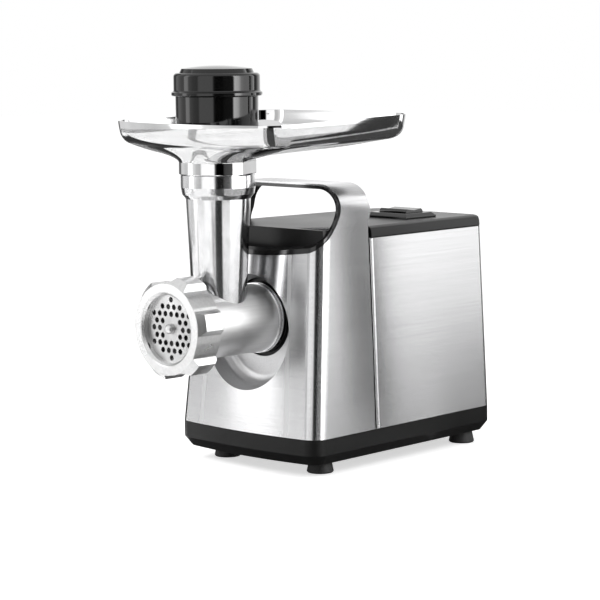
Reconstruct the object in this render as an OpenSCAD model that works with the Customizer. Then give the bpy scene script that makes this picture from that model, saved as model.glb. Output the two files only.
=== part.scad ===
// Electric meat grinder: tapered steel body with a handle arch, gear motor,
// cast grinding head with auger, knife and plate, feed tray and pusher.
// Origin: centre of the overall box at the surface the feet stand on.
// +Z up, the head points to -Y, the motor end to +Y.

/* [Body shell] */
// Overall length, from the ring nut's face to the rear of the base
total_len = 316; // [306:1:330]
// Length of the body at its base
body_len = 230; // [225:1:240]
// Width across the front corners at the base seam
front_w = 159; // [155:0.5:165]
// Width across the rear corners at the base seam
rear_w = 134; // [130:0.5:140]
// Width across the front corners at the shoulder
front_top_w = 142.5; // [140:0.5:150]
// Width across the rear corners at the shoulder
rear_top_w = 123.5; // [120:0.5:130]
// How far the front leans back between seam and shoulder
lean_front = 13.8; // [10:0.1:16]
// How far the rear leans in between seam and shoulder
lean_rear = 4; // [2:0.1:6]
// How far the middle of the front bows out
front_bow = 6.6; // [4:0.1:8]
// Radius of the front vertical corners
front_r = 14; // [12:0.5:18]
// Radius of the rear vertical corners
rear_r = 12; // [10:0.5:18]
// Height of the seam between base and steel
seam_z = 31.8; // [30:0.1:36]
// Height of the rear casing's upper edge
shoulder_z = 185.8; // [182:0.1:190]
// Height of the top cover
cover_z = 195; // [193:0.1:200]
// Thickness of the steel sheet
wall = 1.2; // [0.8:0.1:1.5]
// Width of the gap between the two casings
seam_gap = 2.2; // [1.5:0.1:3]
// Distance of that gap behind the body's front
seam_in = 72; // [68:0.5:74]

/* [Handle] */
// Height of the handle arch
arch_z = 230; // [226:0.5:240]
// Radius of the arch's upper corners
arch_r = 24; // [20:0.5:28]
// Distance of the handle's front edge ahead of the casing seam
handle_front = 30; // [26:0.5:34]
// How far the handle's rear edge flares behind the seam
handle_flare = 4; // [2:0.5:6]
// Lowest point of the opening in the front of the casing
opening_z = 170; // [166:0.5:174]
// Thickness of the liner inside the arch
liner_t = 2.6; // [2:0.1:3.5]
// How far the liner's edge shows past the steel's edge
liner_show = 2; // [1:0.1:3]

/* [Base and feet] */
// Height of the base's underside
base_z = 10.5; // [9:0.5:12]
// Height at which the base's lower bevel starts
bevel_z = 18.5; // [16:0.5:20]
// How far the bevel runs in
bevel_in = 6; // [4:0.5:8]
// Thickness of the base's floor and walls
base_t = 2.6; // [2:0.1:3.5]
// Radius of a foot on the surface
foot_r = 10.9; // [9:0.1:12]
// Distance of the front feet from the middle plane
foot_front_x = 53.5; // [48:0.5:56]
// Distance of the rear feet from the middle plane
foot_rear_x = 49; // [42:0.5:51]
// Distance of the front feet behind the body's front
foot_front_in = 30.5; // [28:0.5:40]
// Distance of the rear feet ahead of the body's rear
foot_rear_in = 20; // [18:0.5:30]

/* [Head] */
// Height of the auger's axis
axis_z = 122; // [120:0.5:125]
// Outer radius of the barrel
barrel_r = 27.5; // [27:0.1:28.5]
// Radius of the barrel's bore
bore_r = 24.6; // [24:0.1:25]
// Distance of the feed tube's axis behind the ring nut's face
tube_in = 58; // [54:0.5:62]
// Outer radius of the feed tube at its top
tube_top_r = 25.7; // [25:0.1:27]
// Outer radius of the feed tube at the barrel
tube_low_r = 22.1; // [21.5:0.1:23]
// Radius of the feed tube's bore
feed_r = 19.6; // [18:0.1:20]
// Outer radius of the collar on the feed tube
collar_r = 29.6; // [29:0.1:31]
// Lower edge of the collar
collar_z = 221; // [215:0.5:225]
// Height of the collar's mouth
mouth_z = 240; // [236:0.5:244]
// Radius of the barrel's tail, which plugs into the body
tail_r = 27; // [26:0.1:27.5]
// Length of the tail
tail_len = 22; // [18:0.5:24]
// Radius of the flange where the tail starts
stop_r = 28.6; // [28.2:0.1:29]

/* [Cutting set] */
// Radius of the cutting plate
plate_r = 30.8; // [30:0.1:31]
// Thickness of the cutting plate
plate_t = 6; // [5:0.5:8]
// Radius of a hole in the plate
hole_r = 2.15; // [1.5:0.05:2.5]
// Distance between neighbouring holes
hole_pitch = 6.6; // [6.2:0.1:7.5]
// How far the plate's face lies behind the ring nut's face
plate_in = 6; // [5:0.5:8]
// Thickness of the knife
knife_t = 7; // [6:0.5:9]
// Radius over the knife's blades
knife_r = 23.5; // [20:0.5:24]
// Outer radius of the auger's flight
auger_r = 24; // [23:0.1:24.3]
// Turns of the auger's flight
auger_turns = 3; // [2:0.5:4]
// Radius of the auger's front pin
pin_r = 4; // [3.5:0.1:4.5]
// Side of the square drive on the auger's tail
drive_w = 10; // [9:0.5:11]

/* [Ring nut] */
// Radius of the ring nut's front opening
ring_open_r = 27; // [26:0.1:28]
// Radius of the ring nut's flat front face
ring_face_r = 36; // [35.5:0.1:37]
// Radius over the grip lobes
lobe_r = 41; // [39:0.5:43]
// Width of a grip lobe
lobe_w = 17; // [14:0.5:20]
// Length of the ring nut
ring_len = 25; // [22:0.5:28]
// Radius of the barrel's thread
thread_r = 33; // [32.5:0.1:33.3]
// Advance of the thread in one turn
thread_pitch = 3; // [2:0.5:4]

/* [Tray and pusher] */
// Half the width of the tray at its front corners
tray_hw = 94; // [88:0.5:97]
// Half the width of the tray at its rear edge
tray_rear_hw = 87; // [82:0.5:92]
// Distance of the tray's front corners ahead of the tube's axis
tray_front = 27.5; // [25:0.5:31]
// Distance of the tray's rear edge behind the tube's axis
tray_rear = 139.5; // [130:0.5:150]
// How far the middle of the tray's front bows out
tray_bow = 16.5; // [15:0.5:18]
// Height of the tray's rim level with the tube's axis
tray_z = 281.8; // [279:0.1:285]
// Angle at which the pan rises from the tube towards its rear, in degrees
tray_tilt = 1.4; // [0.5:0.1:2]
// Height of the tray's wall
tray_wall_h = 9; // [7:0.5:11]
// Radius of the tray's front corners
tray_front_r = 23; // [18:0.5:28]
// Radius of the tray's rear corners
tray_rear_r = 24; // [16:0.5:30]
// Thickness of the tray
tray_t = 1.8; // [1.5:0.1:2.5]
// Outer radius of the tray's neck above the collar
neck_r = 30.9; // [30:0.1:32]
// Height of the neck's upper end, where the pan's floor starts
neck_z = 250.6; // [249:0.1:253]
// Radius of the pusher's head
pusher_r = 32.4; // [31:0.1:34]
// Radius of the pusher's stem
stem_r = 19; // [17:0.1:19.2]
// Lowest point of the pusher's stem
stem_z = 166; // [160:0.5:180]
// Height of the joint between pusher and lid
lid_z = 301.7; // [296:0.1:305]
// Height of the lid's dome
dome_z = 325.3; // [320:0.1:330]
// Radius of the lid
lid_r = 34.1; // [33.5:0.1:35]
// Radius of the lid's rim
lid_rim_r = 35.9; // [35:0.1:37]

/* [Switch] */
// Distance of the switch's middle from the middle plane
switch_x = 21.5; // [0:0.5:25]
// Distance of the switch's middle ahead of the body's rear
switch_in = 66; // [60:0.5:75]
// Width of the switch's bezel
bezel_w = 45; // [40:0.5:50]
// Depth of the switch's bezel
bezel_d = 38; // [34:0.5:42]
// Height of the bezel above the cover
bezel_h = 4.2; // [3:0.1:6]
// Width of the rocker
rocker_w = 30; // [24:0.5:32]
// Depth of the rocker
rocker_d = 24; // [20:0.5:26]

/* [Drive] */
// Teeth of the motor pinion
teeth_m = 10; // [9:1:14]
// Teeth of the first wheel
teeth_a = 50; // [46:1:54]
// Teeth of the first wheel's pinion
teeth_ap = 12; // [10:1:14]
// Teeth of the second wheel
teeth_b = 48; // [44:1:50]
// Teeth of the second wheel's pinion
teeth_bp = 12; // [10:1:14]
// Teeth of the output wheel
teeth_o = 40; // [36:1:42]
// Module of the first pair
mod_1 = 1; // [0.8:0.05:1.1]
// Module of the second pair
mod_2 = 1.25; // [1:0.05:1.3]
// Module of the third pair
mod_3 = 1.75; // [1.5:0.05:1.8]
// Radius of the stator
stator_r = 33; // [30:0.5:34]
// Length of the stator's stack
stator_len = 36; // [30:1:40]
// Radius of the armature
armature_r = 20; // [18:0.5:21]

/* [Fits] */
// Radial running clearance of shafts, bushes and threads
run_fit = 0.06; // [0.02:0.01:0.1]
// Gap between pieces that lie side by side
side_gap = 0.3; // [0.2:0.05:0.5]
// Gap between parts that slide past each other
slide_gap = 0.4; // [0.3:0.05:0.6]

/* [Hidden] */
$fn = 96;

rear_y = total_len / 2;
ring_y = -total_len / 2;
front_y = rear_y - body_len;
seam_y = front_y + seam_in;
tube_y = ring_y + tube_in;
thin = 0.01;
big = 400;
shell_n = 8;

// Places along the head's axis
plate_y = ring_y + plate_in;
seat_y = plate_y + plate_t;
knife_y = seat_y + side_gap;
auger_y = knife_y + knife_t;
ring_back_y = ring_y + ring_len;
barrel_front_y = plate_y + 0.8;
thread_end_y = ring_back_y - 4;
stop_y = seam_y - 57;
stop_t = 3;
tail_y = stop_y + stop_t;
tail_end_y = tail_y + tail_len;
bush_t = 4;
auger_len = tail_end_y - bush_t - side_gap - auger_y;
drive_len = 11;

// Places along the gearbox and the motor
box_y = tail_end_y + side_gap;
box_t = 3;
cell_y = box_y + box_t;
third_len = 13;
second_len = 8;
first_len = 6;
third_y = cell_y + 1;
second_y = third_y + third_len + 1;
first_y = second_y + second_len + 0.8;
cover_y = first_y + first_len + 1;
cover_t = 4;
motor_y = cover_y + cover_t;
bracket_t = 3;
fan_y = motor_y + 9;
fan_len = 12;
stack_y = fan_y + fan_len + 14;
stack_end_y = stack_y + stator_len;
coil_len = 9;
comm_y = stack_end_y + 13;
comm_len = 13;
rear_bracket_y = comm_y + comm_len + 8;
shaft_end_y = rear_bracket_y + 9;
board_y = rear_y - 18;

// Wheel centres in the X-Z plane, from the output axis down to the motor
function pitch_r(m, n) = m * n / 2;
function step(c, d, a) = [c[0] + d * cos(a), c[1] + d * sin(a)];
dist_3 = pitch_r(mod_3, teeth_o) + pitch_r(mod_3, teeth_bp);
dist_2 = pitch_r(mod_2, teeth_b) + pitch_r(mod_2, teeth_ap);
dist_1 = pitch_r(mod_1, teeth_a) + pitch_r(mod_1, teeth_m);
ang_3 = -72;
ang_2 = 160;
ang_1 = -45;
out_c = [0, axis_z];
b_c = step(out_c, dist_3, ang_3);
a_c = step(b_c, dist_2, ang_2);
m_c = step(a_c, dist_1, ang_1);

function lerp(a, b, t) = a + (b - a) * t;
function rise(z) = max(z - seam_z, 0) / (shoulder_z - seam_z);
function hw_front(z) = lerp(front_w, front_top_w, rise(z)) / 2;
function hw_rear(z) = lerp(rear_w, rear_top_w, rise(z)) / 2;
function y_front(z) = front_y + lean_front * rise(z);
function y_rear(z) = rear_y - lean_rear * rise(z);
function half_w(y, z) =
    lerp(hw_front(z), hw_rear(z), (y - y_front(z)) / (y_rear(z) - y_front(z)));
function mirror_x(p) = [for (i = [len(p) - 1:-1:0]) [-p[i][0], p[i][1]]];
function arc(c, r, a0, a1, n) =
    [for (i = [0:n]) let (a = lerp(a0, a1, i / n)) [c[0] + r * cos(a), c[1] + r * sin(a)]];

// Centre of a corner arc that touches two edges with outward normals a and b
function corner_c(p, r, a, b) =
    let (k = 1 + cos(a - b))
    [p[0] - r * (cos(a) + cos(b)) / k, p[1] - r * (sin(a) + sin(b)) / k];

// Outline with a bowed front, straight sides that may taper, and a straight rear
function outline(wf, wb, yf, yb, rf, rb, bow) =
    let (side_a = atan((wf - wb) / (yb - yf)),
         bow_a = atan(2 * bow / wf) - 90,
         cf = corner_c([wf, yf], rf, bow_a, side_a),
         cb = corner_c([wb, yb], rb, side_a, 90),
         x_end = cf[0] + rf * cos(bow_a),
         front = [for (i = [1:15]) let (x = lerp(-x_end, x_end, i / 16))
                  [x, yf - bow * (1 - pow(x / wf, 2))]],
         right = concat(arc(cf, rf, bow_a, side_a, shell_n), arc(cb, rb, side_a, 90, shell_n)))
    concat(front, right, mirror_x(right));
// Plan of the body at height z, drawn in by d
function plan(z, d) =
    outline(hw_front(z) - d, hw_rear(z) - d, y_front(z) + d, y_rear(z) - d,
            max(front_r - d, 2), max(rear_r - d, 2), front_bow);

module plan_slab(z, d) translate([0, 0, z]) linear_extrude(thin) polygon(plan(z, d));
module plan_solid(z0, z1, d0, d1) hull() {
    plan_slab(z0, d0);
    plan_slab(z1 - thin, d1);
}

// X-Z outline of the handle arch at depth y, drawn in by d
function arch_half(y, d) =
    let (r = arch_r - d, zc = arch_z - arch_r, w = half_w(y, zc) - d)
    concat([[half_w(y, seam_z) + 1, seam_z - 5]], arc([w - r, zc], r, 0, 90, 14));
module arch_slab(y, d)
    translate([0, y, 0]) rotate([90, 0, 0]) linear_extrude(thin)
        polygon(concat(arch_half(y, d), mirror_x(arch_half(y, d))));
module arch_solid(d) hull() {
    arch_slab(front_y - 20, d);
    arch_slab(seam_y + 12, d);
}

// Side view outlines are drawn in Y-Z and run right across the body
module across(w = big) rotate([90, 0, 90]) linear_extrude(w, center = true) children();
function bezier(a, b, c, d, n) =
    [for (i = [0:n]) let (t = i / n, u = 1 - t)
     a * u * u * u + b * 3 * u * u * t + c * 3 * u * t * t + d * t * t * t];
// Edge of the opening, from the front up to the handle, moved out by e
function opening(e) =
    let (y1 = seam_y - handle_front - e, e7 = e * 0.7)
    bezier([seam_y - 70 - e7, opening_z + e7], [seam_y - 52 - e7, opening_z + 17 + e7],
           [y1, opening_z + 26 + e7], [y1, opening_z + 52], 16);
module side_view(e, back)
    across() polygon(concat(
        [[seam_y - back, seam_z - 5], [front_y - 30, seam_z - 5], [front_y - 30, opening_z + e * 0.7]],
        opening(e),
        [[seam_y - handle_front - e, arch_z + 5], [seam_y + handle_flare - back, arch_z + 5]],
        bezier([seam_y + handle_flare - back, opening_z + 42], [seam_y + handle_flare - back, opening_z + 30],
               [seam_y - back, opening_z + 34], [seam_y - back, opening_z + 20], 8)));

// Concave dish that leads into the socket
dish_r = 67.6;
dish_z = axis_z - 11;
dish_depth = 19;
dish_y = stop_y + 5 - dish_r;
module dish(grow) translate([0, dish_y, dish_z]) sphere(dish_r + grow, $fn = 128);
// Extrudes an X-Z drawing from y0 to y1
module along_y(y0, y1) translate([0, y1, 0]) rotate([90, 0, 0]) linear_extrude(y1 - y0) children();
// Cylinder and tube along Y, at [x, z]
module rod_y(c, y0, y1, r) translate([c[0], y0, c[1]]) rotate([-90, 0, 0]) cylinder(h = y1 - y0, r = r);
module cone_y(c, y0, y1, r0, r1)
    translate([c[0], y0, c[1]]) rotate([-90, 0, 0]) cylinder(h = y1 - y0, r1 = r0, r2 = r1);
module tube_wall_y(c, y0, y1, r, ri) difference() {
    rod_y(c, y0, y1, r);
    rod_y(c, y0 - 1, y1 + 1, ri);
}
module rod_z(p, z0, z1, r) translate([p[0], p[1], z0]) cylinder(h = z1 - z0, r = r);
module block(x0, x1, y0, y1, z0, z1) translate([x0, y0, z0]) cube([x1 - x0, y1 - y0, z1 - z0]);

feet_at = [for (s = [-1, 1]) each
           [[s * foot_front_x, front_y + foot_front_in], [s * foot_rear_x, rear_y - foot_rear_in]]];

// ---------------------------------------------------------------- body
liner_d = wall + liner_t;
steel = [0.78, 0.78, 0.8];
black = [0.07, 0.07, 0.08];

cradle_w = 40;
post_w = 8;
root_t = 1;
floor_z = base_z + base_t;
module base_tray() color(black) difference() {
    union() {
        difference() {
            // straight wall, cut to the bevel round its lower edge
            intersection() {
                translate([0, 0, base_z]) linear_extrude(seam_z - base_z) polygon(plan(seam_z, 0));
                plan_solid(base_z, seam_z, bevel_in,
                           bevel_in * (bevel_z - seam_z) / (bevel_z - base_z));
            }
            plan_solid(floor_z, seam_z + 1, base_t + bevel_in, base_t + 1);
        }
        for (p = feet_at) rod_z(p, floor_z - root_t, floor_z + 8, 5);
        // cradles under the motor's two brackets
        for (y = [motor_y + 2.4, rear_bracket_y])
            block(m_c[0] - cradle_w / 2, m_c[0] + cradle_w / 2, y, y + bracket_t,
                  floor_z - root_t, m_c[1] - stator_r + 5);
        // posts that hold the control board
        for (s = [-1, 1])
            block(s * 32 - post_w / 2, s * 32 + post_w / 2, board_y - 4, board_y + 5.6,
                  floor_z - root_t, seam_z + 8);
    }
    for (p = feet_at) {
        rod_z(p, base_z - 1, floor_z, 2.2);
        rod_z(p, floor_z - thin, floor_z + 9, 1.5);
    }
    rod_y(m_c, motor_y, rear_y, stator_r + side_gap);
    block(-35 - side_gap, 35 + side_gap, board_y - side_gap / 2, board_y + 1.6 + side_gap / 2,
          floor_z + 4, seam_z + 9);
    for (i = [-4:4]) block(i * 8 - 1.6, i * 8 + 1.6, 60, 105, base_z - 1, floor_z + 1);
}

foot_h = base_z;
module feet() color([0.05, 0.05, 0.05]) for (p = feet_at) translate([p[0], p[1], 0]) difference() {
    rotate_extrude() polygon([[0, 0], [foot_r - 0.8, 0], [foot_r, 1], [foot_r - 0.4, 3],
                              [foot_r - 1.6, foot_h - 2], [foot_r - 1.6, foot_h], [0, foot_h]]);
    translate([0, 0, -1]) cylinder(h = foot_h - 2, r = 4.4);
    cylinder(h = foot_h + 1, r = 2.2);
}

module foot_screws() color(steel) for (p = feet_at) {
    rod_z(p, foot_h - 5.4, foot_h - 3, 3.6);
    rod_z(p, foot_h - 3.5, floor_z + 7, 1.5);
}

module front_casing() color(steel) difference() {
    intersection() {
        plan_solid(seam_z, arch_z + 2, 0, 0);
        arch_solid(0);
        side_view(0, 0);
    }
    difference() {
        intersection() {
            plan_solid(seam_z - 1, arch_z + 2, wall, wall);
            arch_solid(wall);
        }
        dish(wall);
    }
    dish(0);
    rod_y(out_c, front_y - 30, seam_y - 20, stop_r + 0.7);
}

module handle_liner() color(black) difference() {
    intersection() {
        plan_solid(opening_z - 14, arch_z + 2, wall + 0.05, wall + 0.05);
        arch_solid(wall + 0.05);
        side_view(liner_show, 1);
        block(-big, big, -big, seam_y + handle_flare - 1, opening_z - 12, big);
    }
    intersection() {
        plan_solid(opening_z - 15, arch_z + 2, liner_d, liner_d);
        arch_solid(liner_d);
    }
}

module rear_casing() color(steel) difference() {
    plan_solid(seam_z, shoulder_z, 0, 0);
    plan_solid(seam_z - 1, shoulder_z + 1, wall, wall);
    block(-big, big, -big, seam_y + seam_gap, 0, big);
    rod_y(inlet_c, rear_y - 20, rear_y + 5, inlet_r + side_gap / 2);
}

module seam_strip() color(black) difference() {
    intersection() {
        plan_solid(seam_z + 0.2, shoulder_z - 0.2, wall + 0.1, wall + 0.1);
        block(-big, big, seam_y - 0.6, seam_y + seam_gap + 7, 0, cover_z);
    }
    plan_solid(seam_z - 1, shoulder_z + 1, wall + 2.1, wall + 2.1);
}

cover_wall_y = seam_y - 49;
cover_t3 = 2.6;
cover_skirt = 6;
ledge_z = opening_z - 8;
module top_cover() color(black) {
    inner_d = liner_d + side_gap;
    difference() {
        union() {
            // rear part, flush with the steel
            intersection() {
                union() {
                    plan_solid(shoulder_z + 0.1, cover_z - 3, 0, 0.3);
                    plan_solid(cover_z - 3 - thin, cover_z, 0.3, 1.8);
                }
                block(-big, big, seam_y + handle_flare + side_gap, big, 0, big);
            }
            // front part, inside the handle
            intersection() {
                plan_solid(ledge_z, cover_z, inner_d, inner_d);
                block(-big, big, cover_wall_y, seam_y + handle_flare + 3, 0, big);
            }
            // skirt that drops into the rear casing
            intersection() {
                plan_solid(shoulder_z - cover_skirt, shoulder_z + 1, liner_d, liner_d);
                block(-big, big, seam_y + 12, big, 0, big);
            }
        }
        intersection() {
            plan_solid(min(ledge_z, shoulder_z - cover_skirt) - 1, cover_z - cover_t3, inner_d + 2,
                       inner_d + 2);
            block(-big, big, cover_wall_y + cover_t3, big, 0, big);
        }
        switch_cut(side_gap);
    }
    // ledge that closes the pocket behind the front's upper edge
    intersection() {
        plan_solid(ledge_z, ledge_z + 3, inner_d, inner_d);
        block(-big, big, front_y - 20, cover_wall_y + 1, 0, big);
    }
}

switch_y = rear_y - switch_in;
body_w2 = rocker_w / 2 + 3;
body_d2 = rocker_d / 2 + 3;
switch_depth = 20;
module switch_cut(g)
    block(switch_x - body_w2 - g, switch_x + body_w2 + g, switch_y - body_d2 - g, switch_y + body_d2 + g,
          cover_z - 8, cover_z + 20);

module switch_bezel() color(black) difference() {
    translate([switch_x, switch_y, cover_z]) hull() {
        linear_extrude(1.6) square([bezel_w, bezel_d], center = true);
        linear_extrude(bezel_h) square([bezel_w - 6, bezel_d - 6], center = true);
    }
    block(switch_x - rocker_w / 2 - slide_gap, switch_x + rocker_w / 2 + slide_gap,
          switch_y - rocker_d / 2 - slide_gap, switch_y + rocker_d / 2 + slide_gap,
          cover_z - 1, cover_z + 20);
}

rocker_z = cover_z + 1;
// Half of the rocker's end view, from its underside up to the dip in the middle
rocker_side = [[rocker_d / 2 - 1.6, -1.5], [rocker_d / 2 - 0.9, 1.5], [rocker_d / 2 - 1.8, 5],
               [rocker_d / 2 - 3.4, 6.4], [1, 5.4]];
module rocker_switch() color(black) {
    translate([switch_x, switch_y, rocker_z]) rotate([90, 0, 90])
        linear_extrude(rocker_w, center = true)
            polygon(concat(rocker_side, mirror_x(rocker_side)));
    translate([switch_x, switch_y, rocker_z - 3.4]) rotate([0, 90, 0])
        cylinder(h = rocker_w + 3, r = 1.8, center = true);
    block(switch_x - rocker_w / 2 + 1, switch_x + rocker_w / 2 - 1, switch_y - 1.2, switch_y + 1.2,
          rocker_z - 4.6, rocker_z);
}

module switch_body() color([0.12, 0.12, 0.13]) difference() {
    block(switch_x - body_w2, switch_x + body_w2, switch_y - body_d2, switch_y + body_d2,
          cover_z - switch_depth, cover_z);
    block(switch_x - body_w2 + 1.6, switch_x + body_w2 - 1.6, switch_y - body_d2 + 1.6, switch_y + body_d2 - 1.6,
          cover_z - switch_depth + 3, cover_z + 1);
    translate([switch_x, switch_y, rocker_z - 3.4]) rotate([0, 90, 0])
        cylinder(h = rocker_w + 3 + 2 * side_gap, r = 1.8 + run_fit, center = true);
}

// ------------------------------------------------------------- gearbox
nose_y = tail_y + side_gap;
flange_y = dish_y + dish_r + wall + side_gap;
flange_t = 3.5;
flange_r = min(39, ledge_z - axis_z - side_gap);
post_in = 35;
post_at = [for (a = [45:90:315]) [out_c[0] + post_in * cos(a), out_c[1] + post_in * sin(a)]];
post_r = 4;
screw_r = 1.75;
screw_head_r = 3.2;

module socket_collar() color([0.1, 0.1, 0.11]) difference() {
    union() {
        rod_y(out_c, nose_y, flange_y + flange_t, stop_r + 0.4);
        rod_y(out_c, flange_y, flange_y + flange_t, flange_r);
        rod_y(out_c, flange_y + flange_t - thin, box_y, tail_r + 3.4);
    }
    rod_y(out_c, nose_y - 1, box_y + 1, tail_r + run_fit);
    for (p = post_at) {
        rod_y(p, flange_y - 1, flange_y + flange_t + 1, screw_r + side_gap);
        rod_y(p, flange_y - 1, flange_y + 2, screw_head_r + side_gap);
    }
}
module collar_screws() color(steel) for (p = post_at) {
    rod_y(p, flange_y + 0.2, flange_y + 2, screw_head_r);
    rod_y(p, flange_y + 1, box_y + 1, screw_r);
}

clear_t = 1.5;
out_r = pitch_r(mod_3, teeth_o) + mod_3;
b_r = pitch_r(mod_2, teeth_b) + mod_2;
a_r = pitch_r(mod_1, teeth_a) + mod_1;
m_r = pitch_r(mod_1, teeth_m) + mod_1;
box_screw_r = 5;
box_screws = [[out_c[0] - out_r - 4, out_c[1] + 6], [out_c[0] + out_r + 4, out_c[1] + 6],
              [b_c[0] + b_r + 4, b_c[1] - 6], [a_c[0] - a_r - 2, a_c[1] - 12]];
module box_outline(t) hull() {
    translate(out_c) circle(out_r + clear_t + t, $fn = 64);
    translate(b_c) circle(b_r + clear_t + t, $fn = 64);
    translate(a_c) circle(a_r + clear_t + t, $fn = 64);
}
axle_r = 3.5;
out_front_r = 13;
out_rear_r = 8;
bush_wall = 3;

module gearbox_housing() color([0.6, 0.61, 0.63]) {
    difference() {
        union() {
            along_y(box_y, cover_y) box_outline(box_t);
            for (p = box_screws) rod_y(p, box_y + 8, cover_y, box_screw_r);
            for (p = post_at) rod_y(p, flange_y + flange_t, box_y + 1, post_r);
            // leg that stands on the base
            block(b_c[0] - 18, b_c[0] + 18, box_y, box_y + 6, floor_z, b_c[1]);
            block(b_c[0] - 18, b_c[0] + 18, box_y, box_y + 16, floor_z, floor_z + 3);
        }
        along_y(cell_y, cover_y + 1) box_outline(0);
        rod_y(out_c, box_y - 1, cell_y + 1, out_front_r + bush_wall);
        rod_y(b_c, box_y + 1, cell_y + 1, axle_r);
        for (p = box_screws) rod_y(p, cover_y - 12, cover_y + 1, screw_r);
        for (p = post_at) rod_y(p, flange_y + flange_t - 1, box_y + 1, screw_r);
    }
}
module gearbox_cover() color([0.6, 0.61, 0.63]) difference() {
    along_y(cover_y, motor_y) {
        box_outline(box_t);
        for (p = box_screws) translate(p) circle(box_screw_r);
    }
    rod_y(out_c, cover_y - 1, motor_y + 1, out_rear_r + bush_wall);
    for (c = [a_c, b_c]) rod_y(c, cover_y - 1, cover_y + 3, axle_r);
    rod_y(m_c, cover_y - 1, motor_y + 1, 6);
    for (p = box_screws) rod_y(p, cover_y - 1, motor_y + 1, screw_r);
    for (p = bolts_at) rod_y(p, motor_y - 3, motor_y + 1, bolt_r);
}
module gearbox_screws() color(steel) for (p = box_screws) {
    rod_y(p, cover_y - 11, motor_y + 1, screw_r);
    rod_y(p, motor_y, motor_y + 2.2, screw_head_r);
}
module gear_pins() color(steel) {
    rod_y(b_c, box_y + 1, cover_y + 3, axle_r);
    rod_y(a_c, second_y - 0.1, cover_y + 3, axle_r);
}
module output_bushes() color([0.72, 0.52, 0.25]) {
    tube_wall_y(out_c, box_y, cell_y, out_front_r + bush_wall, out_front_r + run_fit);
    tube_wall_y(out_c, cover_y, motor_y, out_rear_r + bush_wall, out_rear_r + run_fit);
}

// Toothed wheel outline: six points to a tooth, first tooth's middle at phase
function tooth(m, n, a) =
    let (p = 360 / n, r = pitch_r(m, n))
    [for (q = [[-0.95, -0.3], [0, -0.21], [0.75, -0.1], [0.75, 0.1], [0, 0.21], [-0.95, 0.3]])
        [(r + q[0] * m) * cos(a + q[1] * p), (r + q[0] * m) * sin(a + q[1] * p)]];
module wheel(c, m, n, phase, y0, y1)
    along_y(y0, y1) translate(c) polygon([for (i = [0:n - 1]) each tooth(m, n, phase + i * 360 / n)]);

module output_wheel() color([0.82, 0.78, 0.66]) difference() {
    union() {
        wheel(out_c, mod_3, teeth_o, ang_3 + 180 / teeth_o, third_y, third_y + third_len);
        rod_y(out_c, box_y + 0.1, third_y + thin, out_front_r);
        rod_y(out_c, third_y + third_len - thin, cover_y - 0.2, out_rear_r + 2);
        rod_y(out_c, cover_y - 1, motor_y - 0.2, out_rear_r);
    }
    along_y(box_y - 1, tail_end_y + drive_len + 1) translate(out_c)
        square(drive_w + 2 * run_fit, center = true);
    for (i = [0:5])
        rotate_about(out_c, i * 60) rod_y([out_c[0] + 22.5, out_c[1]], third_y - 1, third_y + 4, 5.5);
}
module rotate_about(c, a)
    translate([c[0], 0, c[1]]) rotate([0, a, 0]) translate([-c[0], 0, -c[1]]) children();

module second_wheel() color([0.82, 0.78, 0.66]) difference() {
    union() {
        wheel(b_c, mod_2, teeth_b, ang_2 + 180 / teeth_b, second_y, second_y + second_len);
        wheel(b_c, mod_3, teeth_bp, ang_3 + 180, third_y, second_y + thin);
        rod_y(b_c, cell_y + 0.2, third_y + thin, axle_r + 3);
        rod_y(b_c, second_y + second_len - thin, cover_y - 0.2, axle_r + 3);
    }
    rod_y(b_c, box_y, motor_y, axle_r + run_fit);
    for (i = [0:4]) rotate_about(b_c, i * 72)
        rod_y([b_c[0] + 20, b_c[1]], second_y - 1, second_y + second_len + 1, 4.5);
}
module first_wheel() color([0.82, 0.78, 0.66]) difference() {
    union() {
        wheel(a_c, mod_1, teeth_a, ang_1 + 180 / teeth_a, first_y, first_y + first_len);
        wheel(a_c, mod_2, teeth_ap, ang_2 + 180, second_y + 0.2, first_y + thin);
        rod_y(a_c, first_y + first_len - thin, cover_y - 0.2, axle_r + 3);
    }
    rod_y(a_c, box_y, motor_y, axle_r + run_fit);
    for (i = [0:4]) rotate_about(a_c, i * 72)
        rod_y([a_c[0] + 16, a_c[1]], first_y - 1, first_y + first_len + 1, 3.5);
}

// --------------------------------------------------------------- motor
shaft_r = 3;
bearing_r = 8;
bearing_len = 6;
bolt_r = 2;
bolts_at = [for (a = [30, 150, 210, 330])
            [m_c[0] + (stator_r - 3.6) * cos(a), m_c[1] + (stator_r - 3.6) * sin(a)]];
arm_r = bolt_r + 2;
slot_a = 48;
air_gap = 0.6;
coil_r = stator_r - 7;

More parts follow.
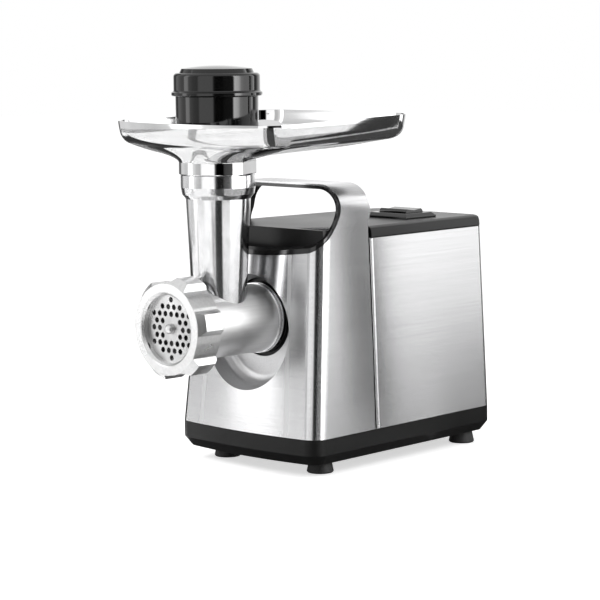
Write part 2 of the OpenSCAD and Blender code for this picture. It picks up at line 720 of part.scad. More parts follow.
module motor_shaft() color(steel) rod_y(m_c, first_y - 0.2, shaft_end_y, shaft_r);
module motor_pinion() color([0.7, 0.7, 0.72]) difference() {
    wheel(m_c, mod_1, teeth_m, ang_1 + 180, first_y, first_y + first_len);
    rod_y(m_c, first_y - 1, cover_y, shaft_r);
}
module armature() color([0.65, 0.38, 0.2]) difference() {
    union() {
        rod_y(m_c, stack_y, stack_end_y, armature_r);
        rod_y(m_c, stack_y - coil_len, stack_end_y + coil_len, armature_r - 4);
    }
    for (i = [0:11]) rotate_about(m_c, i * 30)
        block(m_c[0] + armature_r - 3, m_c[0] + armature_r + 1, stack_y - 1, stack_end_y + 1,
              m_c[1] - 1, m_c[1] + 1);
    rod_y(m_c, stack_y - coil_len - 1, stack_end_y + coil_len + 1, shaft_r);
}
comm_r = 11;
module commutator() color([0.75, 0.45, 0.22]) difference() {
    rod_y(m_c, comm_y, comm_y + comm_len, comm_r);
    for (i = [0:11]) rotate_about(m_c, i * 30)
        block(m_c[0] + comm_r - 1.2, m_c[0] + comm_r + 1, comm_y - 1, comm_y + comm_len + 1,
              m_c[1] - 0.3, m_c[1] + 0.3);
    rod_y(m_c, comm_y - 1, comm_y + comm_len + 1, shaft_r);
}
fan_r = stator_r - 3.6 - arm_r - 1.2;
module cooling_fan() color([0.2, 0.2, 0.22]) difference() {
    union() {
        rod_y(m_c, fan_y, fan_y + fan_len, 8);
        rod_y(m_c, fan_y + fan_len - 1.6, fan_y + fan_len, fan_r);
        for (i = [0:11]) rotate_about(m_c, i * 30)
            block(m_c[0] + 7, m_c[0] + fan_r - 0.5, fan_y, fan_y + fan_len - 1, m_c[1] - 0.8, m_c[1] + 0.8);
    }
    rod_y(m_c, fan_y - 1, fan_y + fan_len + 1, shaft_r);
}
module sector(r0, r1, a0, a1)
    polygon(concat(arc([0, 0], r1, a0, a1, 16), [for (p = arc([0, 0], r0, a1, a0, 16)) p]));
module stator() color([0.45, 0.46, 0.5]) difference() {
    rod_y(m_c, stack_y, stack_end_y, stator_r);
    rod_y(m_c, stack_y - 1, stack_end_y + 1, armature_r + air_gap);
    along_y(stack_y - 1, stack_end_y + 1) translate(m_c)
        for (a = [90, 270]) sector(armature_r, coil_r, a - slot_a, a + slot_a);
    for (p = bolts_at) rod_y(p, stack_y - 1, stack_end_y + 1, bolt_r);
}
module field_coils() color([0.7, 0.4, 0.18])
    along_y(stack_y - coil_len, stack_end_y + coil_len) translate(m_c)
        for (a = [90, 270]) sector(armature_r + 0.9, coil_r - side_gap, a - slot_a + 1, a + slot_a - 1);

// Motor end frame: disc with bearing boss and four arms to the stator
module end_frame(y0, y1, arm0, arm1, boss0, boss1) difference() {
    union() {
        rod_y(m_c, y0, y1, stator_r);
        rod_y(m_c, boss0, boss1, bearing_r + 3);
        for (p = bolts_at) rod_y(p, arm0, arm1, arm_r);
    }
    for (a = [0:90:270]) rotate_about(m_c, a) rod_y([m_c[0] + 20, m_c[1]], y0 - 1, y1 + 1, 6.5);
    for (p = bolts_at) rod_y(p, min(y0, arm0) - 1, max(y1, arm1) + 1, bolt_r);
}
module motor_front_bracket() color([0.15, 0.15, 0.16]) difference() {
    end_frame(motor_y + 2.4, motor_y + 2.4 + bracket_t, motor_y, stack_y, motor_y, motor_y + bearing_len + 1);
    rod_y(m_c, motor_y - 1, motor_y + bearing_len, bearing_r);
    rod_y(m_c, motor_y - 1, motor_y + bearing_len + 3, shaft_r + 1);
}
brush_w = 8;
brush_r0 = comm_r + 0.1;
brush_len = 15;
module motor_rear_bracket() color([0.15, 0.15, 0.16]) difference() {
    union() {
        end_frame(rear_bracket_y, rear_bracket_y + bracket_t, stack_end_y, rear_bracket_y + bracket_t,
                  rear_bracket_y, rear_bracket_y + bearing_len + 1);
        // brush holders
        for (s = [-1, 1])
            block(m_c[0] + s * 21 - 6, m_c[0] + s * 21 + 6, comm_y + 1, rear_bracket_y + thin,
                  m_c[1] - brush_w / 2 - 2, m_c[1] + brush_w / 2 + 2);
    }
    block(m_c[0] - 40, m_c[0] + 40, comm_y + 2.5, comm_y + 2.5 + brush_w + side_gap,
          m_c[1] - brush_w / 2 - side_gap / 2, m_c[1] + brush_w / 2 + side_gap / 2);
    rod_y(m_c, rear_bracket_y - 1, rear_bracket_y + bearing_len, bearing_r);
    rod_y(m_c, rear_bracket_y - 1, rear_bracket_y + bearing_len + 3, shaft_r + 1);
}
module motor_bearings() color(steel) for (y = [motor_y, rear_bracket_y])
    tube_wall_y(m_c, y, y + bearing_len, bearing_r, shaft_r + run_fit);
module carbon_brushes() color([0.2, 0.2, 0.2]) difference() {
    for (s = [-1, 1])
        block(m_c[0] + s * (brush_r0 + brush_len / 2) - brush_len / 2,
              m_c[0] + s * (brush_r0 + brush_len / 2) + brush_len / 2,
              comm_y + 2.6, comm_y + 2.4 + brush_w, m_c[1] - brush_w / 2, m_c[1] + brush_w / 2);
    rod_y(m_c, comm_y, comm_y + comm_len, brush_r0 + 0.4);
}
module motor_bolts() color(steel) for (p = bolts_at) {
    rod_y(p, motor_y - 3, rear_bracket_y + bracket_t + 1, bolt_r);
    rod_y(p, rear_bracket_y + bracket_t, rear_bracket_y + bracket_t + 3, bolt_r + 1.6);
}

// --------------------------------------------------------- electrical
module control_board() color([0.1, 0.35, 0.2]) {
    z0 = floor_z + 4;
    block(-35, 35, board_y, board_y + 1.6, z0, z0 + 78);
    block(-28, -10, board_y - 15, board_y + thin, z0 + 40, z0 + 66);
    block(2, 24, board_y - 16, board_y + thin, z0 + 36, z0 + 52);
    rod_y([14, z0 + 64], board_y - 22, board_y + thin, 6);
    block(-24, 24, board_y - 8, board_y + thin, z0 + 12, z0 + 24);
}
module terminal_block() color([0.85, 0.85, 0.82]) difference() {
    block(-54, -40, terminal_y - 10, terminal_y + 10, floor_z, floor_z + 13);
    for (i = [-1:1]) rod_z([-47, terminal_y + i * 6], floor_z + 6, floor_z + 14, 2);
}
terminal_y = board_y - 30;
inlet_c = [-30, seam_z + 16];
inlet_r = 7;
module cord_inlet() color(black) difference() {
    union() {
        rod_y(inlet_c, rear_y - 12, rear_y - 0.1, inlet_r);
        rod_y(inlet_c, rear_y - 6, y_rear(inlet_c[1] + inlet_r) - wall - side_gap, inlet_r + 2.5);
    }
    rod_y(inlet_c, rear_y - 13, rear_y + 1, 3.6);
}

// ---------------------------------------------------------------- head
seat_r = plate_r + side_gap;
bush_or = 13;
journal_r = 9;
spigot_r = collar_r - 2.4;
spigot_len = 12;
module grinder_head() color([0.8, 0.81, 0.83]) difference() {
    union() {
        rod_y(out_c, barrel_front_y, thread_end_y, thread_r - run_fit);
        cone_y(out_c, thread_end_y - thin, ring_back_y + 2, thread_r - run_fit, barrel_r);
        rod_y(out_c, thread_end_y, tail_y, barrel_r);
        rod_y(out_c, stop_y, tail_y, stop_r);
        rod_y(out_c, tail_y - thin, tail_end_y, tail_r);
        translate([0, tube_y, axis_z])
            cylinder(h = collar_z - axis_z + 2, r1 = tube_low_r - 1.4, r2 = tube_top_r);
        translate([0, tube_y, 0]) rotate_extrude()
            polygon([[0, collar_z], [tube_top_r, collar_z], [collar_r - 1, collar_z + 5],
                     [collar_r, collar_z + 9], [collar_r, mouth_z], [0, mouth_z]]);
        // fillet between tube and barrel
        translate([0, tube_y, axis_z + 20]) cylinder(h = 12, r1 = tube_low_r + 2.5, r2 = tube_low_r);
    }
    rod_y(out_c, barrel_front_y - 1, seat_y + side_gap, seat_r);
    rod_y(out_c, plate_y, tail_end_y - bush_t, bore_r);
    rod_y(out_c, plate_y, tail_end_y + 1, bush_or);
    rod_z([0, tube_y], axis_z, mouth_z + 1, feed_r);
    rod_z([0, tube_y], mouth_z - spigot_len - side_gap, mouth_z + 1, spigot_r + slide_gap);
    rod_y(key_c, plate_y, seat_y + 6, key_r);
}
key_r = 1.6;
key_c = [0, axis_z - plate_r + 1.2];
module plate_key() color(steel) rod_y(key_c, plate_y + 1.5, seat_y + 6, key_r);
module auger_bush() color([0.9, 0.9, 0.88]) {
    tube_wall_y(out_c, tail_end_y - bush_t - 1, tail_end_y, bush_or, journal_r + run_fit);
    tube_wall_y(out_c, tail_end_y - bush_t - 1.6, tail_end_y - bush_t, bush_or + 4, journal_r + run_fit);
}

core_r = 9.5;
flight_y = auger_y + 0.1;
flight_len = auger_len - 2.5;
knife_sq = 8.4;
module blade2d() polygon(concat(arc([0, 0], auger_r, -13, 13, 3), arc([0, 0], core_r - 2, 24, -24, 3)));
module auger() color([0.78, 0.79, 0.81]) {
    cone_y(out_c, auger_y, auger_y + auger_len - 2, core_r, core_r + 4);
    rod_y(out_c, auger_y + auger_len - 3, tail_end_y + side_gap, journal_r);
    along_y(tail_end_y, tail_end_y + drive_len) translate(out_c) square(drive_w, center = true);
    translate([0, flight_y, axis_z]) rotate([-90, 0, 0])
        linear_extrude(flight_len, twist = 360 * auger_turns, slices = 18 * auger_turns, segments = 8)
            blade2d();
    along_y(knife_y - 0.2, auger_y + thin) translate(out_c) square(knife_sq, center = true);
    rod_y(out_c, ring_y + 4.5, knife_y, pin_r);
    translate([0, ring_y + 4.5, axis_z]) sphere(pin_r);
}
module cutter_knife() color(steel) difference() {
    union() {
        rod_y(out_c, knife_y, auger_y - 0.1, 9);
        for (i = [0:3]) rotate_about(out_c, i * 90) along_y(knife_y, knife_y + knife_t - 1.5)
            translate(out_c)
                polygon([[0, -3.5], [9, -4.5], [knife_r, -1.5], [knife_r, 3.5], [9, 4.5], [0, 3.5]]);
    }
    along_y(knife_y - 1, auger_y + 1) translate(out_c) square(knife_sq, center = true);
}

hole_field_r = 23;
hub_field_r = 8.2;
row_h = hole_pitch * sqrt(3) / 2;
plate_holes = [for (j = [-4:4], i = [-4:4])
               let (p = [(i + (j % 2) / 2) * hole_pitch, j * row_h])
               if (norm(p) < hole_field_r && norm(p) > hub_field_r) p];
module cutting_plate() color(steel) difference() {
    rod_y(out_c, plate_y, seat_y, plate_r);
    for (p = plate_holes) rod_y(out_c + p, plate_y - 1, seat_y + 1, hole_r, $fn = 32);
    rod_y(out_c, plate_y - 1, seat_y + 1, pin_r + run_fit);
    hull() for (dz = [0, -6]) rod_y(key_c + [0, dz], plate_y - 1, seat_y + 1, key_r + side_gap, $fn = 32);
}

clamp_gap = 0.1;
lobe_y = ring_y + 4;
lobe_end_y = ring_back_y - 1.5;
module ring_nut() color([0.82, 0.82, 0.84]) difference() {
    union() {
        cone_y(out_c, ring_y, ring_y + 1.4, ring_face_r - 0.6, ring_face_r + 0.6);
        rod_y(out_c, ring_y + 1.4 - thin, ring_back_y - 1, ring_face_r + 1.6);
        rod_y(out_c, ring_y + 1.4, ring_back_y, ring_face_r + 0.4);
        intersection() {
            for (i = [0:5]) rotate_about(out_c, i * 60)
                block(out_c[0], lobe_r + 5, lobe_y, lobe_end_y, axis_z - lobe_w / 2, axis_z + lobe_w / 2);
            union() {
                cone_y(out_c, lobe_y, lobe_y + 4, ring_face_r + 1, lobe_r);
                rod_y(out_c, lobe_y + 4 - thin, lobe_end_y - 2, lobe_r);
                cone_y(out_c, lobe_end_y - 2 - thin, lobe_end_y, lobe_r, lobe_r - 2);
            }
        }
    }
    rod_y(out_c, ring_y - 1, plate_y, ring_open_r);
    cone_y(out_c, ring_y - 0.1, ring_y + 2, ring_open_r + 2.1, ring_open_r);
    rod_y(out_c, plate_y - clamp_gap, ring_back_y + 1, thread_r);
}

// ------------------------------------------------------- tray and pusher
wall_in = 1;
round_in = 8;
round_h = 10;
function tray_outline(d) =
    outline(tray_hw - d, tray_rear_hw - d, tube_y - tray_front + d, tube_y + tray_rear - d,
            tray_front_r - d * 0.5, tray_rear_r - d * 0.5, tray_bow);
// One level of the pan, drop below the rim and tilted with it about the tube's axis
module tray_slab(drop, d) translate([0, tube_y, tray_z - drop]) rotate([tray_tilt, 0, 0])
    translate([0, -tube_y, -thin]) linear_extrude(thin) polygon(tray_outline(d));
module tray_form(d, dz) {
    hull() {
        tray_slab(-dz, d);
        tray_slab(tray_wall_h - dz, d + wall_in);
    }
    hull() {
        tray_slab(tray_wall_h - dz, d + wall_in);
        tray_slab(tray_wall_h + round_h - dz, d + round_in);
    }
    hull() {
        tray_slab(tray_wall_h + round_h - dz, d + round_in);
        translate([0, tube_y, neck_z + dz]) cylinder(h = thin, r = neck_r - d, $fn = 72);
    }
}
module feed_tray() color([0.84, 0.84, 0.86]) difference() {
    union() {
        tray_form(0, 0);
        rod_z([0, tube_y], mouth_z + side_gap, neck_z + 0.5, neck_r);
        rod_z([0, tube_y], mouth_z - spigot_len, mouth_z + 1, spigot_r);
    }
    difference() {
        tray_form(tray_t * 0.6, tray_t);
        rod_z([0, tube_y], 0, neck_z + tray_t, neck_r);
    }
    rod_z([0, tube_y], mouth_z - spigot_len - 1, neck_z + 20, spigot_r - 1.8);
}

head_z = neck_z + tray_t + side_gap;
pusher_t = 2;
module pusher() color(black) difference() {
    translate([0, tube_y, 0]) rotate_extrude()
        polygon([[0, stem_z], [stem_r - 2, stem_z], [stem_r, stem_z + 2], [stem_r, head_z],
                 [pusher_r - 4, head_z], [pusher_r, head_z + 10], [pusher_r + 0.3, lid_z - 0.3],
                 [0, lid_z - 0.3]]);
    translate([0, tube_y, 0]) rotate_extrude()
        polygon([[0, stem_z + 3], [stem_r - pusher_t, stem_z + 3], [stem_r - pusher_t, head_z + 2],
                 [pusher_r - 4 - pusher_t, head_z + 2], [pusher_r - pusher_t, head_z + 12],
                 [pusher_r - pusher_t, lid_z + 1], [0, lid_z + 1]]);
}
module pusher_lid() color(black) {
    top_r = 7;
    edge_z = dome_z - 6;
    difference() {
        translate([0, tube_y, 0]) rotate_extrude()
            polygon(concat([[0, lid_z - 5], [pusher_r - pusher_t - slide_gap, lid_z - 5],
                            [pusher_r - pusher_t - slide_gap, lid_z], [lid_rim_r - 0.6, lid_z],
                            [lid_rim_r, lid_z + 0.6], [lid_rim_r, lid_z + 2.6], [lid_rim_r - 0.8, lid_z + 3.4],
                            [lid_r - 0.2, lid_z + 3.6]],
                           [for (i = [0:12]) let (a = i / 12 * 90)
                            [lid_r - 3.4 + 3.4 * cos(a), edge_z - 3.4 + 3.4 * sin(a)]],
                           [for (i = [1:12]) let (x = (lid_r - 3.4) * (1 - i / 12))
                            [x, edge_z + (dome_z - edge_z) * (1 - pow(x / (lid_r - 3.4), 2))]]));
        translate([0, tube_y, 0]) rotate_extrude()
            polygon([[0, lid_z - 6], [pusher_r - pusher_t - slide_gap - 2, lid_z - 6],
                     [pusher_r - pusher_t - slide_gap - 2, edge_z - 3], [0, dome_z - 3]]);
    }
}

base_tray();
feet();
foot_screws();
front_casing();
handle_liner();
rear_casing();
seam_strip();
top_cover();
switch_bezel();
rocker_switch();
switch_body();
socket_collar();
collar_screws();
gearbox_housing();
gearbox_cover();
gearbox_screws();
gear_pins();
output_bushes();
output_wheel();
second_wheel();
first_wheel();
motor_pinion();
motor_shaft();
armature();
commutator();
cooling_fan();
stator();
field_coils();
motor_front_bracket();
motor_rear_bracket();
motor_bearings();
carbon_brushes();
motor_bolts();
control_board();
terminal_block();
cord_inlet();
grinder_head();
auger_bush();
plate_key();
auger();
cutter_knife();
cutting_plate();
ring_nut();
feed_tray();
pusher();
pusher_lid();
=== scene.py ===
"""Looks of the electric meat grinder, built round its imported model.

Sizes are in millimetres, in the model's own frame: the ring nut faces -Y and the feet stand on Z = 0.
"""
import math

import bmesh
import bpy
from mathutils import Matrix, Vector


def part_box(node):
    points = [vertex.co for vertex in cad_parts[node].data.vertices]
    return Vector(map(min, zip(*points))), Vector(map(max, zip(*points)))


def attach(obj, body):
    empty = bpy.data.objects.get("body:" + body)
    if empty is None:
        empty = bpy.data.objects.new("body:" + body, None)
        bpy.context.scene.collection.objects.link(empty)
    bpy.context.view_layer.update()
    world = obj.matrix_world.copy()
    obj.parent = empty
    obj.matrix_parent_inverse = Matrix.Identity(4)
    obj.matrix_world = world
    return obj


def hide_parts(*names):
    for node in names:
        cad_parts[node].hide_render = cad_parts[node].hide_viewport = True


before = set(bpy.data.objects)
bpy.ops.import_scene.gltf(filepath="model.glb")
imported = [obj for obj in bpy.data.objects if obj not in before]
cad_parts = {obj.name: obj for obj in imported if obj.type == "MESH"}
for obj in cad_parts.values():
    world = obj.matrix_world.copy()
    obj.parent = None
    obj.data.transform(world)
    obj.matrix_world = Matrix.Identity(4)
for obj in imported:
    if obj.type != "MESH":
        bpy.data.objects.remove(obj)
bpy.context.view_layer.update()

MM = 0.001


def span(node):
    """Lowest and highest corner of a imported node, in millimetres."""
    low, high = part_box(node)
    return low / MM, high / MM


# ---------------------------------------------------------------- sizes
BASE_LOW, BASE_HIGH = span("base_tray")
REAR_LOW, REAR_HIGH = span("rear_casing")
NUT_LOW, NUT_HIGH = span("ring_nut")
BEZEL_LOW, BEZEL_HIGH = span("switch_bezel")

# heights at which the pieces of the body meet or end
BASE_Z = BASE_LOW.z
SEAM_Z = REAR_LOW.z                     # joint between base and steel
SHOULDER_Z = REAR_HIGH.z                # upper edge of the rear casing
COVER_Z = span("top_cover")[1].z
ARCH_Z = span("front_casing")[1].z      # top of the handle
LID_TOP = span("pusher_lid")[1].z

# body: half widths at the seam and at the shoulder, and its two ends
REAR_Y = BASE_HIGH.y
FRONT_BOW = 6.6                         # how far the middle of the front bows out
FRONT_Y = BASE_LOW.y + FRONT_BOW
FRONT_HALF, FRONT_TOP_HALF = 79.5, 71.25
REAR_HALF, REAR_TOP_HALF = 67, 61.75
FRONT_LEAN, REAR_LEAN = 13.8, 4         # how far the ends lean in on the way up
FRONT_CORNER, REAR_CORNER = 14, 12
SHEET = 1.2                             # thickness of the steel
SEAM_GAP = REAR_LOW.y                   # where the rear casing starts
CREASE_Y, CREASE_DEPTH = 4.9, 0.45      # groove pressed into the steel beside that seam

# base
BASE_WALL, BASE_FLOOR = 3.6, 2.6
BEVEL_Z, BEVEL_IN = 18.5, 6             # height and depth of the bevel at its foot
VENT_PITCH, VENT_HALF, VENT_Y = 8, 1.6, (60, 105)
FOOT_PLACES = ((53.5, -41.5), (-53.5, -41.5), (49, 138), (-49, 138))
INLET_X, INLET_Z, INLET_R = -30, SEAM_Z + 16, 7.15

# handle, the opening under it and the cover in the opening
ARCH_CORNER = 24
HANDLE_FRONT, HANDLE_FLARE = -30, 4     # front of the grip, and where its sides meet the rear
OPENING_Z = 170
LINER = 2.6
COVER_FRONT_Y = -49
SWITCH_HOLE = 18.3, 15.3                # half width and half depth

# grinding head along its axis
AXIS_Z = 122                            # height of the auger
BARREL_R, BARREL_BORE = 27.5, 24.6
THREAD_R, THREAD_Y = 32.9, -151
FLANGE_R, STOP_Y, TAIL_Y = 28.6, -54, -32
FILLET = 2.2                            # where the tube runs into the barrel

# feed tube
TUBE_Y = -100
MOUTH_Z = 240
TUBE_FOOT_R, TUBE_R = 20.9, 25.7
COLLAR_R, COLLAR_BORE = 29.6, 27.4
PUSHER_BORE = 19.6

# dish and hole in the front casing, round the head
DISH_Z, DISH_R, DISH_Y = AXIS_Z - 10, 48.5, -53
SOCKET_R = 32

# ring nut; the corners of a lobe are (radius, angle, rounding)
LOBES = 6
NUT_LOBE = ((36.3, -25), (36.3, -20), (36.4, -15, 2.2), (42, -8.2, 0.8), (42, 8.2, 0.8), (36.4, 15, 2.2),
            (36.3, 20))
NUT_R, NUT_FACE_R, NUT_BORE, NUT_THREAD_R = 41, 36.4, 27, 33
NUT_PHASE = 11                          # turn of the nut at rest, in degrees

# tray
TRAY_HALF, TRAY_REAR_HALF = 94, 87
TRAY_FRONT_Y, TRAY_REAR_Y = TUBE_Y - 27.5, TUBE_Y + 139.5
TRAY_FRONT_R, TRAY_REAR_R = 23, 24
TRAY_BOW = 16.5
TRAY_Z = 281.8                          # rim level with the tube's axis
TRAY_TILT = 1.4                         # degrees, rising to the rear
TRAY_T = 1.8
PAN_IN, PAN_DROP = 8, 19                # where the wall turns into the pan, from the rim
TRAY_WALL = ((0, 0.5), (0.1, 2.2), (0.4, 5), (1.0, 9), (1.5, 11.3), (2.4, 13.5), (3.7, 15.6), (5.5, 17.5),
             (PAN_IN, PAN_DROP))        # inset and drop, from the rim down
PAN_BELLY = 0.8
NECK_R, NECK_Z = 30.9, 250.6
SPIGOT_R, SPIGOT_Z = 27.1, MOUTH_Z - 12

# pusher and its lid
STEM_R, STEM_BORE, STEM_Z = 19, 17, 166
CUP_Z, CUP_SHOULDER_Z, CUP_TOP_Z = 252.8, 262.7, 301.4
CUP_R, CUP_WALL = 32.4, 2
LID_Z, LID_RIM_R, LID_R = 301.7, 35.9, 34.1
DOME_R, DOME_RISE, DOME_STEPS = 31, 3, 10


# ------------------------------------------------------------- outlines
def between(a, b, t):
    """Value a share t of the way from a to b."""
    return a + (b - a) * t


def arc(centre, radius, start, end, count):
    """Points of an arc, angles in degrees."""
    turns = [math.radians(between(start, end, i / count)) for i in range(count + 1)]
    return [(centre[0] + radius * math.cos(a), centre[1] + radius * math.sin(a)) for a in turns]


def bezier(a, b, c, d, count):
    """Points of a curve from a to d that is drawn towards b and c."""
    points = []
    for i in range(count + 1):
        t = i / count
        u = 1 - t
        points.append(tuple(u**3 * p + 3 * u * u * t * q + 3 * u * t * t * r + t**3 * s
                            for p, q, r, s in zip(a, b, c, d)))
    return points


def rounded(corners, segments=5):
    """Points of an outline whose corners (x, y, radius) are rounded where a radius is given."""
    points = []
    for i, corner in enumerate(corners):
        if len(corner) < 3:
            points.append(tuple(corner))
            continue
        here = Vector(corner[:2])
        to_last = (Vector(corners[i - 1][:2]) - here).normalized()
        to_next = (Vector(corners[(i + 1) % len(corners)][:2]) - here).normalized()
        half = to_last.angle(to_next) / 2
        middle = here + (to_last + to_next).normalized() * corner[2] / math.sin(half)
        start = here + to_last * corner[2] / math.tan(half) - middle
        end = here + to_next * corner[2] / math.tan(half) - middle
        sweep = math.pi - 2 * half
        for k in range(segments + 1):
            t = k / segments
            spoke = (start * math.sin((1 - t) * sweep) + end * math.sin(t * sweep)) / math.sin(sweep)
            points.append(tuple(middle + spoke))
    return points


def corner_centre(corner, radius, a, b):
    """Centre of the arc that touches two edges with outward normals at angles a and b."""
    k = radius / (1 + math.cos(math.radians(a - b)))
    return (corner[0] - k * (math.cos(math.radians(a)) + math.cos(math.radians(b))),
            corner[1] - k * (math.sin(math.radians(a)) + math.sin(math.radians(b))))


def bowed_outline(front_half, rear_half, front_y, rear_y, front_r, rear_r, bow, fine=16):
    """Closed outline with a bowed front, sides that may taper and a straight rear."""
    side = math.degrees(math.atan((front_half - rear_half) / (rear_y - front_y)))
    lead = math.degrees(math.atan(2 * bow / front_half)) - 90
    front_c = corner_centre((front_half, front_y), front_r, lead, side)
    rear_c = corner_centre((rear_half, rear_y), rear_r, side, 90)
    end = front_c[0] + front_r * math.cos(math.radians(lead))
    front = []
    for i in range(1, 2 * fine):
        x = between(-end, end, i / (2 * fine))
        front.append((x, front_y - bow * (1 - (x / front_half) ** 2)))
    right = arc(front_c, front_r, lead, side, fine) + arc(rear_c, rear_r, side, 90, fine)
    return front + right + [(-x, y) for x, y in reversed(right)]


def rise(z):
    """Share of the way from the seam up to the shoulder."""
    return max(z - SEAM_Z, 0) / (SHOULDER_Z - SEAM_Z)


def front_half_at(z):
    return between(FRONT_HALF, FRONT_TOP_HALF, rise(z))


def rear_half_at(z):
    return between(REAR_HALF, REAR_TOP_HALF, rise(z))


def front_y_at(z):
    return FRONT_Y + FRONT_LEAN * rise(z)


def rear_y_at(z):
    return REAR_Y - REAR_LEAN * rise(z)


def half_at(y, z):
    """Half width of the body at a depth and a height."""
    t = (y - front_y_at(z)) / (rear_y_at(z) - front_y_at(z))
    return between(front_half_at(z), rear_half_at(z), t)


def body_plan(z, inset, at=None):
    """Loop round the body at height z, drawn in by inset, laid at height at."""
    outline = bowed_outline(front_half_at(z) - inset, rear_half_at(z) - inset,
                            front_y_at(z) + inset, rear_y_at(z) - inset,
                            max(FRONT_CORNER - inset, 2), max(REAR_CORNER - inset, 2), FRONT_BOW)
    return [(x, y, z if at is None else at) for x, y in outline]


def arch_loop(y):
    """Front view of the body and its handle arch at depth y."""
    centre_z = ARCH_Z - ARCH_CORNER
    half = half_at(y, centre_z)
    right = [(half_at(y, SEAM_Z) + 1, SEAM_Z - 5)]
    right += arc((half - ARCH_CORNER, centre_z), ARCH_CORNER, 0, 90, 20)
    loop = right + [(-x, z) for x, z in reversed(right)]
    return [(x, y, z) for x, z in loop]


def side_loop(x):
    """Side view of the front casing: the front of the opening, the grip and its flare."""
    outline = [(0, SEAM_Z - 5), (FRONT_Y - 30, SEAM_Z - 5), (FRONT_Y - 30, OPENING_Z)]
    outline += bezier((-70, OPENING_Z), (-52, OPENING_Z + 17), (HANDLE_FRONT, OPENING_Z + 26),
                      (HANDLE_FRONT, OPENING_Z + 52), 28)
    outline += [(HANDLE_FRONT, ARCH_Z + 5), (HANDLE_FLARE, ARCH_Z + 5)]
    outline += bezier((HANDLE_FLARE, OPENING_Z + 42), (HANDLE_FLARE, OPENING_Z + 30), (0, OPENING_Z + 34),
                      (0, OPENING_Z + 20), 12)
    return [(x, y, z) for y, z in outline]


# ------------------------------------------------------------ modelling
def deselect():
    """Leaves edit mode with nothing selected."""
    if bpy.context.mode != "OBJECT":
        bpy.ops.object.mode_set(mode="OBJECT")
    bpy.ops.object.select_all(action="DESELECT")


def choose(piece):
    """Selects one piece and nothing else."""
    deselect()
    piece.select_set(True)
    bpy.context.view_layer.objects.active = piece


def edit(piece):
    """Opens a piece for editing, with nothing selected."""
    choose(piece)
    bpy.ops.object.mode_set(mode="EDIT")
    bpy.ops.mesh.select_all(action="DESELECT")


def done():
    bpy.ops.object.mode_set(mode="OBJECT")


def select_mesh():
    """Selects all of the open mesh."""
    bpy.ops.mesh.select_all(action="SELECT")


def added(name):
    """Names the primitive that was just added and puts its place into its mesh."""
    piece = bpy.context.active_object
    piece.name = piece.data.name = name
    bpy.ops.object.transform_apply(location=True, rotation=True, scale=True)
    return piece


def pick(kind, test):
    """Selects the verts, edges or faces of the open mesh that pass a test."""
    bpy.ops.mesh.select_mode(type=kind)
    bpy.ops.mesh.select_all(action="DESELECT")
    mesh = bmesh.from_edit_mesh(bpy.context.edit_object.data)
    items = {"VERT": mesh.verts, "EDGE": mesh.edges, "FACE": mesh.faces}[kind]
    for item in items:
        item.select_set(bool(test(item)))
    mesh.select_flush_mode()
    bmesh.update_edit_mesh(bpy.context.edit_object.data)


def lay(loop):
    """Puts the selected vertices of the open mesh on a loop of points, in their numbered order."""
    mesh = bmesh.from_edit_mesh(bpy.context.edit_object.data)
    order = mesh.verts.layers.int.get("order")
    for vert in mesh.verts:
        if vert.select:
            vert.co = Vector(loop[vert[order]]) * MM
    bmesh.update_edit_mesh(bpy.context.edit_object.data)


def number_verts():
    """Numbers the vertices of the open mesh; what is extruded from them keeps their numbers."""
    mesh = bmesh.from_edit_mesh(bpy.context.edit_object.data)
    order = mesh.verts.layers.int.new("order")
    mesh.verts.ensure_lookup_table()
    for i, vert in enumerate(mesh.verts):
        vert[order] = i
    bmesh.update_edit_mesh(bpy.context.edit_object.data)


def solid(name, loops, filled=True):
    """A circle laid on the first loop of points and extruded to each next one."""
    deselect()
    bpy.ops.mesh.primitive_circle_add(vertices=len(loops[0]), fill_type="NGON" if filled else "NOTHING")
    piece = added(name)
    edit(piece)
    number_verts()
    select_mesh()
    lay(loops[0])
    for loop in loops[1:]:
        bpy.ops.mesh.extrude_region()
        lay(loop)
    select_mesh()
    bpy.ops.mesh.normals_make_consistent(inside=False)
    done()
    return piece


def turned(name, profile, centre=(0, 0, 0), axis="Z", steps=96, ring=False):
    """A profile of (radius, height) spun round an axis; a ring profile is closed on itself."""
    deselect()
    bpy.ops.mesh.primitive_circle_add(vertices=len(profile))
    piece = added(name)
    edit(piece)
    number_verts()
    if not ring:
        last = len(profile) - 1
        pick("EDGE", lambda e: {v.index for v in e.verts} == {0, last})
        bpy.ops.mesh.delete(type="EDGE_FACE")
    bpy.ops.mesh.select_mode(type="VERT")
    select_mesh()
    x, y, z = centre
    if axis == "Z":
        lay([(x + r, y, z + h) for r, h in profile])
    else:
        lay([(x + r, y + h, z) for r, h in profile])
    bpy.ops.mesh.spin(steps=steps, angle=math.tau, center=[c * MM for c in centre],
                      axis=(0, 0, 1) if axis == "Z" else (0, 1, 0))
    select_mesh()
    bpy.ops.mesh.remove_doubles(threshold=0.0005 * MM)
    bpy.ops.mesh.normals_make_consistent(inside=False)
    done()
    return piece


def block(name, low, high):
    """A cube between two corners."""
    deselect()
    middle = [(a + b) / 2 * MM for a, b in zip(low, high)]
    bpy.ops.mesh.primitive_cube_add(size=1, location=middle, scale=[(b - a) * MM for a, b in zip(low, high)])
    return added(name)


def rod(name, centre, radius, y0, y1, steps=96):
    """A cylinder along Y."""
    deselect()
    bpy.ops.mesh.primitive_cylinder_add(vertices=steps, radius=radius * MM, depth=(y1 - y0) * MM,
                                        location=(centre[0] * MM, (y0 + y1) / 2 * MM, centre[1] * MM),
                                        rotation=(math.pi / 2, 0, 0))
    return added(name)


